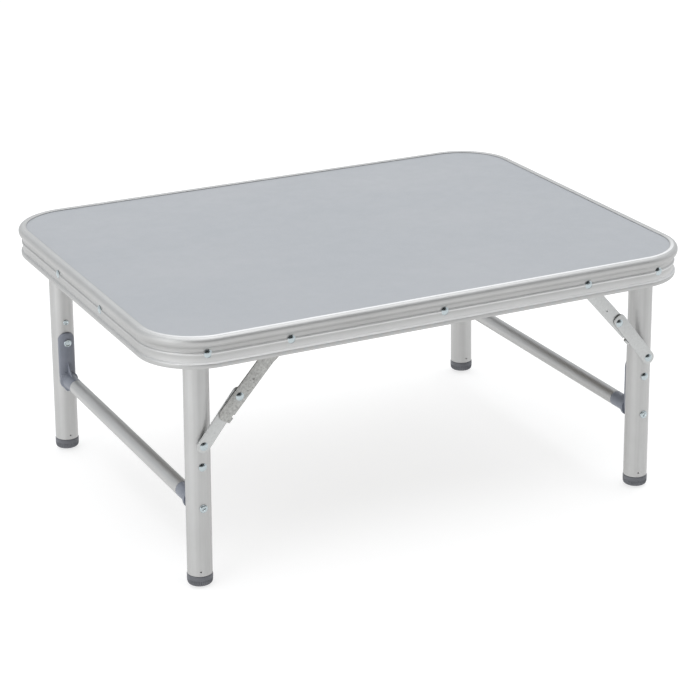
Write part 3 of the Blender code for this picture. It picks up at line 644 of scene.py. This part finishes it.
def dome(height):
    """A low dome over a short straight edge, from its top down to its seat."""
    rise, steps = height - HEAD_EDGE, 7
    bend = (HEAD_RADIUS ** 2 + rise ** 2) / (2 * rise)
    widest = atan2(HEAD_RADIUS, bend - rise)
    turns = [widest * i / steps for i in range(steps + 1)]
    return [(height - bend * (1 - cos(t)), bend * sin(t)) for t in turns] + [(0.0, HEAD_RADIUS)]


def clinched(seat, radius):
    """A rivet's spread tail: a rolled ring with a hollow middle."""
    floor = seat - CLINCH_HEIGHT * 0.35
    return [(seat, radius), (seat - CLINCH_HEIGHT * 0.5, radius),
            (seat - CLINCH_HEIGHT, radius - 0.0005), (seat - CLINCH_HEIGHT, radius - 0.0012),
            (floor, radius - 0.0019), (floor, 0.0)]


def down_grain(point):
    """Grain along Z: rivets, tubes and mouldings."""
    return point.zxy


def strip_grain(point):
    """Grain along X, across Z: the flat arms."""
    return point.xzy


def inner_end(node):
    """How far out from the table's middle, across it, a node starts."""
    return min(abs(corner.y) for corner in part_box(node))


def add_rivet(name, seat, outward, length, body, nodes, radius=SHANK_RADIUS, tail=0.0031,
              middle_part=(), head=HEAD_HEIGHT):
    profile = dome(head) + [(0.0, radius), *middle_part, (-length, radius)]
    profile += clinched(-length, tail) if tail else [(-length, 0.0)]
    maker = bmesh.new()
    turned(maker, seat, outward, profile, RIVET_SEGMENTS)
    finish_piece(name, maker, down_grain, "rivet_zinc", body, nodes)


def add_pivot(kind, tag, x, seat_y, sy, shank, middle_part):
    """A pivot rivet through the rim, with its head on the neck."""
    node = kind + "_rivet_" + tag
    add_rivet(kind + "_pin_" + tag, (x, sy * seat_y, PIVOT_Z), (0, sy, 0),
              seat_y - inner_end(node) - CLINCH_HEIGHT, "table_top", [node], shank,
              middle_part=middle_part)


def build_rim_rivets():
    neck_x, neck_y = LENGTH / 2 - RIVET_FACE, WIDTH / 2 - RIVET_FACE
    for end, sy in ENDS.items():
        for side, sx in SIDES.items():
            tag = "{}_{}".format(end, side)
            seat = rim_outside(PIVOT_X)
            add_pivot("leg_pivot", tag, sx * PIVOT_X, seat, sy, LEG_SHANK_RADIUS,
                      collar(seat, SURFACE + 0.0003, seat - 0.0040, 0.0048, LEG_SHANK_RADIUS))
            arm_face = SURFACE + arm_planes(sx, sy)[2] + ARM_THICKNESS
            add_pivot("brace_pivot", tag, sx * BRACE_X, neck_y, sy, SHANK_RADIUS,
                      collar(neck_y, arm_face + 0.0003, WIDTH / 2 - 0.0055, 0.0042, SHANK_RADIUS))
    add_rivet("front_middle_rivet", (0, -neck_y, PIVOT_Z), (0, -1, 0), RIM_GRIP, "table_top",
              ["clip_rivet_front"])
    for side, sx in SIDES.items():
        node = "splice_rivet_" + side
        add_rivet("back_rivet_" + side, (middle(node).x, neck_y, PIVOT_Z), (0, 1, 0), RIM_GRIP,
                  "table_top", [node])
        for end, sy in ENDS.items():
            seat = (sx * neck_x, sy * SIDE_RIVET_Y, PIVOT_Z)
            add_rivet("side_rivet_{}_{}".format(end, side), seat, (sx, 0, 0), RIM_GRIP,
                      "table_top", [])


def rim_outside(x):
    """How far out the rim's neck stands at a place along the long side, in its corner too."""
    into_corner = max(0.0, x - (LENGTH / 2 - CORNER_RADIUS))
    radius = CORNER_RADIUS - RIVET_FACE
    return WIDTH / 2 - CORNER_RADIUS + sqrt(radius ** 2 - into_corner ** 2)


def collar(seat, start, end, radius, shank):
    """A pivot rivet's thick middle, between two places out from the table's middle."""
    ease = 0.0002
    return [(end - seat, shank), (end - seat, radius - ease), (end - seat - ease, radius),
            (start - seat + ease, radius), (start - seat, radius - ease), (start - seat, shank)]


# ---- Leg pairs --------
def leg_frame(sx):
    """From a leg's drawing (pivot at the origin, leg down -Z) to its place."""
    return Matrix.Translation((sx * PIVOT_X, 0, PIVOT_Z)) @ Matrix.Rotation(-sx * SPLAY, 4, "Y")


def placed(maker, matrix):
    bmesh.ops.transform(maker, matrix=matrix, verts=maker.verts)
    return maker


def finish_in_place(name, maker, matrix, grain, look, body, nodes, smooth=35.0):
    """Finish a piece made in its drawing: the grain follows the drawing's axes."""
    inverse = matrix.inverted()
    finish_piece(name, placed(maker, matrix), lambda point: grain(inverse @ point), look, body,
                 nodes, smooth)


TUBE_SEGMENTS = 64
EDGE_EASE = 0.0002  # of every cut tube end
CORE_GAP = 0.0003  # round what is pushed into a tube
FOOT_HEIGHT = 0.0110
STAKE_AT = 0.0050  # the staking mark, above the foot cap's edge
STAKE_TURN = radians(17.0)  # its turn from the front, on the front legs


def leg_tube(maker, y, end_at):
    """A tube whose top is cut to a half round, seen from the front, with eased edges."""
    inner = LEG_RADIUS - LEG_WALL
    crown = LEG_RADIUS - 0.0001
    rings = []

    def ring(radius, level):
        points = []
        for i in range(TUBE_SEGMENTS):
            turn = 2 * pi * i / TUBE_SEGMENTS
            x = radius * cos(turn)
            points.append((x, y + radius * sin(turn), level(x) if callable(level) else level))
        rings.append(points)

    def top(drop):
        return lambda x: sqrt(max(0.0, crown ** 2 - x ** 2)) - drop

    ring(LEG_RADIUS - EDGE_EASE, -end_at)
    ring(LEG_RADIUS, -end_at + EDGE_EASE)
    for level in (-0.20, -0.15, -0.10, -0.05, -0.01):
        ring(LEG_RADIUS, level)
    ring(LEG_RADIUS, top(EDGE_EASE))
    ring(LEG_RADIUS - EDGE_EASE, top(0.0))
    ring(inner + EDGE_EASE, top(0.0))
    ring(inner, top(EDGE_EASE))
    ring(inner, -end_at + EDGE_EASE)
    ring(inner + EDGE_EASE, -end_at)
    loft(maker, rings, closed=True)


def build_leg(side, end):
    sx, sy = SIDES[side], ENDS[end]
    y = sy * LEG_Y
    tag = "{}_{}".format(end, side)
    body = "leg_pair_" + side
    end_at = LEG_LENGTH - FOOT_HEIGHT - 0.0003

    def stake(maker):
        """The small punched mark that holds the foot cap, on the leg's front."""
        turn = STAKE_TURN if sy < 0 else 0.0
        axis = Vector((sin(turn), cos(turn), 0.0))
        turned(maker, Vector((0, y, -end_at + STAKE_AT)) - axis * (LEG_RADIUS + 0.0002), axis,
               [(0.0, 0.0009), (0.0018, 0.0006), (0.0018, 0.0)], 16)

    tube = scratch(lambda maker: leg_tube(maker, y, end_at))
    combine(tube, "DIFFERENCE", stake)
    finish_in_place("leg_tube_" + tag, as_bmesh(tube), leg_frame(sx), down_grain, "leg_aluminium",
                    body, ["leg_" + tag])

    cap = bmesh.new()
    foot_cap(cap, sx, y)
    finish_in_place("foot_boot_" + tag, cap, leg_frame(sx), down_grain, "foot_plastic", body,
                    ["foot_cap_" + tag], 24.0)


FOOT_RIBS = 36
RIB_DEPTH = 0.0008
RIB_STEPS = 4


def foot_cap(maker, sx, y):
    """A cap with a fine rib round its lower half and a flat sole, cut level with the floor."""
    core = LEG_RADIUS - LEG_WALL - CORE_GAP
    # Height above the sole, radius, and whether the ribs are cut there.
    profile = [(0.0, 0.0098, 0.0), (0.0003, 0.0108, 0.3), (0.0010, 0.0118, 1.0),
               (0.0022, 0.0125, 1.0), (0.0040, FOOT_RADIUS - 0.0001, 1.0),
               (0.0062, FOOT_RADIUS, 1.0), (0.0065, FOOT_RADIUS, 0.0), (0.0102, FOOT_RADIUS, 0.0),
               (0.0107, FOOT_RADIUS - 0.0002, 0.0), (FOOT_HEIGHT, FOOT_RADIUS - 0.0006, 0.0),
               (FOOT_HEIGHT, core, 0.0), (0.0215, core, 0.0), (0.0220, core - 0.0005, 0.0)]
    rings = []
    for rise, radius, ribbed in profile:
        ring = []
        for i in range(FOOT_RIBS * RIB_STEPS):
            turn = 2 * pi * i / (FOOT_RIBS * RIB_STEPS)
            groove = 0.5 - 0.5 * cos(2 * pi * (i % RIB_STEPS) / RIB_STEPS)
            r = radius - ribbed * RIB_DEPTH * groove
            x = r * cos(turn)
            tilt = sx * x * sin(SPLAY) if rise < 0.002 else 0.0
            ring.append((x, y + r * sin(turn), rise - LEG_LENGTH - tilt))
        rings.append(ring)
    loft(maker, rings)


SADDLE_GAP = 0.0003
SADDLE_RADIUS = 0.0139
SADDLE_SHIFT = 0.0013
SADDLE_ROUND = 0.0012
SADDLE_HALF_WIDTH = 0.0090
SADDLE_FACE = SADDLE_RADIUS + SADDLE_SHIFT  # its inner side, from the leg's middle
FILLET_REACH = 0.0022  # of the boss's filleted root
SHOULDER = 0.0082
TIP_HALF_WIDTH = 0.0026
TAPER_START = 0.006  # above the crossbar's middle


def tongue_half_width(level):
    """Half of the tongue's width at a level down the leg."""
    top, taper, bottom = -BRACKET_TOP_AT, TAPER_START - BAR_AT, -BRACKET_TIP_AT
    if level > top - SHOULDER:
        share = (level - top + SHOULDER) / SHOULDER
        return SADDLE_HALF_WIDTH - SHOULDER * (1 - sqrt(max(0.0, 1 - share ** 2)))
    if level < taper:
        share = (taper - level) / (taper - bottom)
        return SADDLE_HALF_WIDTH - (SADDLE_HALF_WIDTH - TIP_HALF_WIDTH) * share ** 2.1
    return SADDLE_HALF_WIDTH


def saddle_mesh(maker, y, inward):
    """The bracket's tongue on the leg: two grids, with round shoulders and a blunt point."""
    columns, rows = 36, 44
    top, bottom = -BRACKET_TOP_AT, -BRACKET_TIP_AT

    def grid(outer):
        made = []
        for j in range(rows + 1):
            level = bottom + (top - bottom) * (0.5 - 0.5 * cos(pi * j / rows))
            half = tongue_half_width(level)
            line = []
            for i in range(columns + 1):
                x = half * sin(pi / 2 * (2 * i / columns - 1))
                reach = sqrt((LEG_RADIUS + SADDLE_GAP) ** 2 - x ** 2)
                if outer:
                    edge = min(half - abs(x), level - bottom, top - level)
                    share = max(0.0, min(1.0, edge / SADDLE_ROUND))
                    thick = SADDLE_SHIFT + sqrt(SADDLE_RADIUS ** 2 - x ** 2) - reach
                    reach += thick * (0.40 + 0.60 * sqrt(1 - (1 - share) ** 2))
                line.append(maker.verts.new((x, y + inward * reach, level)))
            made.append(line)
        return made

    def patch(first, second):
        for i in range(len(first) - 1):
            maker.faces.new((first[i], first[i + 1], second[i + 1], second[i]))

    outer, inner = grid(True), grid(False)
    for shell in (outer, inner):
        for first, second in zip(shell, shell[1:]):
            patch(first, second)
    for end in (0, -1):
        patch(outer[end], inner[end])
        patch([line[end] for line in outer], [line[end] for line in inner])


def build_bracket(side, end):
    """Tongue, boss with a filleted root, spigot and web, moulded in one."""
    y, inward = ENDS[end] * LEG_Y, -ENDS[end]
    tag = "{}_{}".format(end, side)
    boss_reach = LEG_Y - SADDLE_FACE - BAR_END

    def boss(maker):
        core = BAR_RADIUS - LEG_WALL - CORE_GAP
        end_at = FILLET_REACH + boss_reach - 0.0003
        profile = [(0.0, BAR_RADIUS + FILLET_REACH)]
        profile += [(0.0032 + 0.0026 * i / 6, BAR_RADIUS + FILLET_REACH * (1 - sin(pi / 2 * i / 6)))
                    for i in range(7)]
        profile += [(end_at - 0.0004, BAR_RADIUS), (end_at, BAR_RADIUS - 0.0004), (end_at, core),
                    (end_at + 0.017, core), (end_at + 0.018, core - 0.001)]
        turned(maker, (0, y + inward * (SADDLE_FACE - FILLET_REACH), -BAR_AT), (0, inward, 0),
               profile, 48)

    def web(maker):
        """The gusset over the boss, with a hollow curved edge."""
        top = -BAR_AT + BAR_RADIUS - 0.0010
        base = LEG_RADIUS + 0.0012
        rise, reach, half = 0.0145, 0.0155, 0.0010
        points = [(base, top - 0.002), (SADDLE_FACE + reach, top - 0.002)]
        points += [(SADDLE_FACE + reach * i / 10, top + rise * (1 - i / 10) ** 1.6)
                   for i in range(10, -1, -1)]
        points += [(base, top + rise)]
        loft(maker, [[(x, y + inward * d, z) for d, z in points] for x in (-half, half)])

    def ring(maker):
        """A low moulded ring round the rivet's clinched end."""
        profile = [(0.0, 0.0034), (0.0016, 0.0034), (0.0019, 0.0037), (0.0019, 0.0044),
                   (0.0016, 0.0048), (0.0, 0.0050)]
        turned_ring(maker, (0, y + inward * (SADDLE_FACE - 0.0012), -BRACKET_RIVET_AT),
                    (0, inward, 0), profile, 36)

    def room(maker):
        """The leg and the gap round it."""
        radius = LEG_RADIUS + SADDLE_GAP - 0.00002
        turned(maker, (0, y, 0.0), (0, 0, -1), [(0.0, radius), (0.25, radius)], 96)

    shape = scratch(lambda maker: saddle_mesh(maker, y, inward))
    combine(shape, "UNION", ring)
    combine(shape, "UNION", boss)
    gusset = scratch(web)
    bevel(gusset, 0.0004, 2, 40.0)
    combine_with(shape, "UNION", gusset)
    combine(shape, "DIFFERENCE", room)
    finish_in_place("bracket_" + tag, as_bmesh(shape), leg_frame(SIDES[side]), down_grain,
                    "bracket_plastic", "leg_pair_" + side, ["crossbar_bracket_" + tag], 40.0)


def build_crossbar(side):
    matrix, inner = leg_frame(SIDES[side]), BAR_RADIUS - LEG_WALL
    profile = [(-BAR_END, BAR_RADIUS - EDGE_EASE), (-BAR_END + EDGE_EASE, BAR_RADIUS)]
    profile += [(y, BAR_RADIUS) for y in (-0.10, -0.05, 0.0, 0.05, 0.10)]
    profile += [(BAR_END - EDGE_EASE, BAR_RADIUS), (BAR_END, BAR_RADIUS - EDGE_EASE),
                (BAR_END, inner), (-BAR_END, inner)]
    turns = [2 * pi * i / 48 for i in range(48)]
    maker = bmesh.new()
    loft(maker, [[(radius * cos(t), y, -BAR_AT + radius * sin(t)) for t in turns]
                 for y, radius in profile], closed=True)
    finish_piece("crossbar_tube_" + side, placed(maker, matrix), lambda point: point.yxz,
                 "leg_aluminium", "leg_pair_" + side, ["crossbar_" + side])


SCREW_TURNS = {"left": radians(24), "right": radians(61)}
BUSH_RADIUS = 0.0034  # of the foot stud's bush, between leg and arm


def build_leg_fasteners(side, end):
    """The bracket's rivet and screw, and the stud that the brace's foot turns on."""
    sx, sy = SIDES[side], ENDS[end]
    tag = "{}_{}".format(end, side)
    body = "leg_pair_" + side
    matrix = leg_frame(sx)

    node = "bracket_rivet_" + tag
    add_rivet("bracket_pin_" + tag, matrix @ Vector((0, sy * SURFACE, -BRACKET_RIVET_AT)),
              matrix.to_3x3() @ Vector((0, sy, 0)), SURFACE - inner_end(node) - CLINCH_HEIGHT, body,
              [node], tail=0.0042)

    screw = scratch(screw_shape)
    for bar in (0, 1):
        combine(screw, "DIFFERENCE", lambda maker: cross_bar(maker, bar))
    turn = Matrix.Rotation(sy * -pi / 2, 4, "X") @ Matrix.Rotation(SCREW_TURNS[side], 4, "Z")
    place = matrix @ Matrix.Translation((0, sy * SURFACE, -BAR_AT)) @ turn
    finish_piece("bracket_screw_" + tag, placed(as_bmesh(screw), place), down_grain, "rivet_zinc",
                 body, ["crossbar_screw_" + tag])

    node = "brace_foot_stud_" + tag
    start = inner_end(node) + CLINCH_HEIGHT
    tube_end = SURFACE - 0.0002 - start
    bush_end = SURFACE + arm_planes(sx, sy)[1] - 0.0003 - start
    tail = [(-0.0003, 0.0), (-0.0003, 0.0012), (-0.0008, 0.0019), (-0.0008, 0.0026),
            (-0.0004, 0.0031), (0.0, 0.0031)]
    bush = [(tube_end, SHANK_RADIUS), (tube_end, BUSH_RADIUS), (bush_end - 0.0002, BUSH_RADIUS),
            (bush_end, BUSH_RADIUS - 0.0002), (bush_end, 0.0)]
    stud = bmesh.new()
    turned(stud, (0, sy * start, -BRACE_FOOT_AT), (0, sy, 0),
           tail + [(0.0, SHANK_RADIUS)] + bush, RIVET_SEGMENTS)
    finish_piece("brace_stud_" + tag, placed(stud, matrix), down_grain, "rivet_zinc", body, [node])


THREAD_START, THREAD_PITCH, THREAD_COUNT = -0.0016, 0.0014, 26
THREAD_DEPTH = 0.0003


def screw_shape(maker):
    """Pan head along +Z over a threaded shank with a point."""
    head = [(0.0017, 0.0)]
    head += [(0.0017 - 0.0012 * (1 - cos(radians(9 * i))), 0.0022 + 0.0020 * sin(radians(9 * i)))
             for i in range(11)]
    head += [(0.0, 0.0041), (0.0, SHANK_RADIUS)]
    thread = []
    for i in range(THREAD_COUNT):
        level = THREAD_START - i * THREAD_PITCH
        thread += [(level, SHANK_RADIUS), (level - THREAD_PITCH * 0.5, SHANK_RADIUS - THREAD_DEPTH)]
    end = THREAD_START - THREAD_COUNT * THREAD_PITCH
    point = [(end, SHANK_RADIUS), (end - 0.003, 0.0004), (end - 0.003, 0.0)]
    turned(maker, (0, 0, 0), (0, 0, 1), head + thread + point, RIVET_SEGMENTS)


def cross_bar(maker, bar):
    """One arm of the cross recess: a bar that narrows as it goes in."""
    wide, narrow = 0.0021, 0.00042
    half_x, half_y = (wide, narrow) if bar == 0 else (narrow, wide)
    share_x, share_y = (0.4, 0.8) if bar == 0 else (0.8, 0.4)
    corners = ((-1, -1), (1, -1), (1, 1), (-1, 1))
    loft(maker, [[(x * half_x * share_x, y * half_y * share_y, 0.0004) for x, y in corners],
                 [(x * half_x, y * half_y, 0.0019) for x, y in corners]])


# ---- Braces --------
def arm_planes(sx, sy):
    """Inner faces of the upper arm, the lower arm and the upper arm's rim end, out from the leg."""
    if sx == sy:
        return PLANE_OUTER, PLANE_INNER, PLANE_HIGH
    return PLANE_INNER, PLANE_OUTER, PLANE_INNER


ARM_STEPS = 12
RAMP_START, RAMP_LENGTH, RAMP_STEPS = 0.0215, 0.0075, 8
TAB_START, TAB_END = 0.0205, 0.0270  # past the middle joint
NOTCH_START, NOTCH_DEPTH = 0.0175, 0.0013
DENT_BACK = 0.0217  # from the middle joint to the dent in the upper arm
LINE_OFFSET = 0.0021  # how far the lower arm's line passes beside its joint
LOWER_CORNER = 0.0058
BUSH_ROOM = BUSH_RADIUS + 0.0004  # radius of the notch for the folded foot's bush


def upper_strip(maker, near, lift, outward):
    """The upper arm, its rim end raised over a smooth ramp."""
    w, joint = UPPER_HALF_WIDTH, UPPER_LENGTH
    ramps = [RAMP_START + RAMP_LENGTH * i / RAMP_STEPS for i in range(RAMP_STEPS + 1)]
    low = [(u, -w) for u in ramps]
    high = [(u, w) for u in reversed(ramps)]
    tail = arc((joint + UPPER_TAIL - w, 0), w, -90, 25, ARM_STEPS)
    tab = [(joint + u, v) for u, v in ((TAB_END, w), (TAB_START, w), (TAB_START, w - NOTCH_DEPTH),
                                       (NOTCH_START, w - NOTCH_DEPTH), (NOTCH_START, w))]
    before = low + [(joint, -w)] + tail + tab + [(joint, w)]
    outline = before + high + arc((0, 0), w, 90, 270, ARM_STEPS * 2)

    def rise(u):
        t = max(0.0, min(1.0, (u - ramps[0]) / (ramps[-1] - ramps[0])))
        return lift * (1 - t * t * (3 - 2 * t))

    loops = [[maker.verts.new((u, outward * (near + level + rise(u)), v)) for u, v in outline]
             for level in (0.0, ARM_THICKNESS)]
    start = len(before)
    end = start + RAMP_STEPS
    for loop in loops:
        maker.faces.new(loop[RAMP_STEPS:start + 1])
        for k in range(RAMP_STEPS):
            maker.faces.new([loop[k], loop[k + 1], loop[end - 1 - k], loop[end - k]])
        maker.faces.new(loop[:1] + loop[end:])
    skin(maker, *loops)


def lower_outline():
    """From the middle joint to the foot; the strip's line passes beside the joint."""
    w, corner = LOWER_HALF_WIDTH, LOWER_CORNER
    tilt = atan2(LINE_OFFSET, LOWER_LENGTH)
    reach = LOWER_LENGTH * cos(tilt)
    strip = arc((reach, 0), w, -90, 90, ARM_STEPS * 2)
    strip += arc((-LOWER_TAIL + corner, w - corner), corner, 90, 180, 8)
    strip += arc((-LOWER_TAIL + corner, -w + corner), corner, 180, 270, 8)
    return [(LOWER_LENGTH + (u - reach) * cos(tilt) - v * sin(tilt),
             (u - reach) * sin(tilt) + v * cos(tilt)) for u, v in strip]


def build_brace(side, end):
    """Both arms and their rivets at one corner."""
    sx, sy = SIDES[side], ENDS[end]
    tag = "{}_{}".format(end, side)
    upper_plane, lower_plane, rim_plane = arm_planes(sx, sy)
    outermost = upper_plane > lower_plane
    flip = Matrix.Diagonal((-1 if sx > 0 else 1, 1, 1, 1))

    def place(x, z, angle):
        return flip @ Matrix.Translation((x, 0, z)) @ Matrix.Rotation(-angle, 4, "Y")

    def span(near, far):
        """Two distances out from the leg's outermost line, as a low and a high y."""
        return sorted((sy * (SURFACE + near), sy * (SURFACE + far)))

    def tab(maker):
        """The tail's edge bent over the lower arm's edge, with a rounded outer corner."""
        near, far = lower_plane, upper_plane + ARM_THICKNESS * 0.8
        if not outermost:
            near, far = upper_plane + ARM_THICKNESS * 0.2, lower_plane + ARM_THICKNESS
        u0, u1 = UPPER_LENGTH + TAB_START + 0.0001, UPPER_LENGTH + TAB_END - 0.0001
        prism(maker, rounded([(u0, 0.0069), (u1, 0.0069), (u1, 0.0086), (u0, 0.0086)],
                             [0, 0, 0.0008, 0.0008]), *span(near, far))

    def dent(maker):
        """A shallow round dent in the arm's outer face."""
        face = sy * (SURFACE + upper_plane + ARM_THICKNESS + 0.0003)
        turned(maker, (UPPER_LENGTH - DENT_BACK, face, 0.0002), (0, -sy, 0),
               [(0.0, 0.00184), (0.00079, 0.00128), (0.0010, 0.00048), (0.0010, 0.0)], 20)

    def foot_notch(maker):
        """Open notch that takes the foot's bush when the brace lies folded."""
        at = BRACE_FOOT_AT - (PIVOT_X - BRACE_X)
        outline = arc((at, 0), BUSH_ROOM, 0, 180, 12)
        outline += [(at - 0.0044, -0.009), (at + 0.0080, -0.009), (at + 0.0052, -0.0035)]
        prism(maker, outline, *span(-0.002, 0.012))

    arm = scratch(lambda maker: upper_strip(
        maker, SURFACE + upper_plane, rim_plane - upper_plane, sy))
    combine(arm, "UNION", tab)
    if not outermost:
        combine(arm, "DIFFERENCE", foot_notch)
    bevel(arm, 0.0003, 2, 40.0)
    combine(arm, "DIFFERENCE", dent)
    finish_in_place("brace_top_link_" + tag, as_bmesh(arm), place(-BRACE_X, PIVOT_Z, UPPER_ANGLE),
                    strip_grain, "upper_steel" if outermost else "lower_steel",
                    "upper_arm_" + tag, ["brace_upper_arm_" + tag])

    link = scratch(lambda maker: prism(
        maker, lower_outline(), *span(lower_plane, lower_plane + ARM_THICKNESS)))
    bevel(link, 0.0006, 3, 40.0)
    finish_in_place("brace_low_link_" + tag, as_bmesh(link), place(-JOINT_X, JOINT_Z, LOWER_ANGLE),
                    strip_grain, "lower_steel", "lower_arm_" + tag, ["brace_lower_arm_" + tag])

    seat = SURFACE + PLANE_OUTER + ARM_THICKNESS
    add_rivet("brace_joint_pin_" + tag, (sx * JOINT_X, sy * seat, JOINT_Z), (0, sy, 0),
              PLANE_OUTER - PLANE_INNER + ARM_THICKNESS + 0.0002, "upper_arm_" + tag,
              ["brace_joint_rivet_" + tag])
    seat = SURFACE + lower_plane + ARM_THICKNESS
    add_rivet("brace_foot_head_" + tag, (sx * FOOT_X, sy * seat, FOOT_Z), (0, sy, 0),
              ARM_THICKNESS, "lower_arm_" + tag, ["brace_foot_rivet_" + tag], tail=0.0,
              head=LOW_HEAD_HEIGHT if outermost else HEAD_HEIGHT)


# ---- Studio --------
CAMERA_AZIMUTH = radians(-26.60)
CAMERA_ELEVATION = radians(21.056)
CAMERA_DISTANCE = 2.320
CAMERA_TARGET = (-0.0138, -0.0422, 0.150)
CAMERA_ROLL = radians(-0.42)
CAMERA_LENS = 113.04
DARK_SIDE = (-0.03, -0.87, 0.49)  # the unlit part of the studio, before the table
FLOOR_AT = -0.002
FLOOR_RADIUS = 60.0


def build_camera():
    data = bpy.data.cameras.new("camera")
    data.lens = CAMERA_LENS
    data.sensor_width = 36.0
    camera = add_object("camera", data)
    camera.matrix_world = (
        Matrix.Translation(CAMERA_TARGET) @ Matrix.Rotation(CAMERA_AZIMUTH, 4, "Z")
        @ Matrix.Rotation(pi / 2 - CAMERA_ELEVATION, 4, "X") @ Matrix.Rotation(CAMERA_ROLL, 4, "Z")
        @ Matrix.Translation((0, 0, CAMERA_DISTANCE)))
    bpy.context.scene.camera = camera


def add_light(name, place, target, size, power):
    data = bpy.data.lights.new(name, "AREA")
    data.shape = "RECTANGLE"
    data.size, data.size_y = size
    data.energy = power
    light = add_object(name, data)
    light.location = place
    light.rotation_euler = (Vector(target) - Vector(place)).to_track_quat("-Z", "Y").to_euler()


def build_world():
    """A bright world with one dark part, which is what darkens the top of every rivet."""
    world = bpy.data.worlds.new("studio_world")
    bpy.context.scene.world = world
    world.use_nodes = True
    nodes = Nodes(world.node_tree)

    def vector_math(operation, source, constant=None):
        node = nodes.add("VectorMath")
        node.operation = operation
        nodes.link(source, node.inputs[0])
        if constant:
            node.inputs[1].default_value = constant
        return node.outputs["Value" if operation == "DOT_PRODUCT" else "Vector"]

    widened = vector_math("MULTIPLY", nodes.add("TexCoord").outputs["Generated"], (0.55, 1.0, 1.0))
    facing = vector_math("DOT_PRODUCT", vector_math("NORMALIZE", widened), DARK_SIDE)
    strength = nodes.remap(facing, 0.82, 0.88, 1.0, 0.04)
    strength.node.interpolation_type = "SMOOTHSTEP"
    background = world.node_tree.nodes["Background"]
    background.inputs["Color"].default_value = (0.84, 0.86, 0.88, 1.0)
    nodes.link(strength, background.inputs["Strength"])


def build_studio():
    """A glowing white floor, the world, and soft boxes above and beside the table."""
    maker = bmesh.new()
    turned(maker, (0, 0, FLOOR_AT), (0, 0, 1), [(-0.01, FLOOR_RADIUS), (0.0, FLOOR_RADIUS)], 96)
    floor = as_object("studio_floor", maker)
    look = Material("studio_floor_look", Base_Color=(0.40, 0.40, 0.40, 1.0), Roughness=0.9,
                    Emission_Color=(1.0, 1.0, 1.0, 1.0), Emission_Strength=0.70)
    floor.data.materials.append(look.material)
    build_world()
    add_light("soft_top", (0.2, 0.6, 2.6), (0, 0, 0.1), (3.2, 2.4), 26.0)
    add_light("soft_front_top", (-0.2, -1.1, 2.5), (0, 0, 0.2), (2.6, 1.0), 15.0)
    add_light("soft_left", (-2.7, -1.1, 0.9), (0, 0, 0.12), (1.8, 1.5), 18.0)
    add_light("soft_right", (2.4, -1.6, 1.7), (0, 0, 0.15), (1.6, 1.6), 3.0)
    bpy.context.scene.view_settings.view_transform = "Standard"


# ---- The whole table --------
def main():
    build_rim()
    build_panel()
    build_strips()
    build_rim_rivets()
    for side in SIDES:
        build_crossbar(side)
        for end in ENDS:
            build_leg(side, end)
            build_bracket(side, end)
            build_leg_fasteners(side, end)
            build_brace(side, end)
    build_camera()
    build_studio()


main()
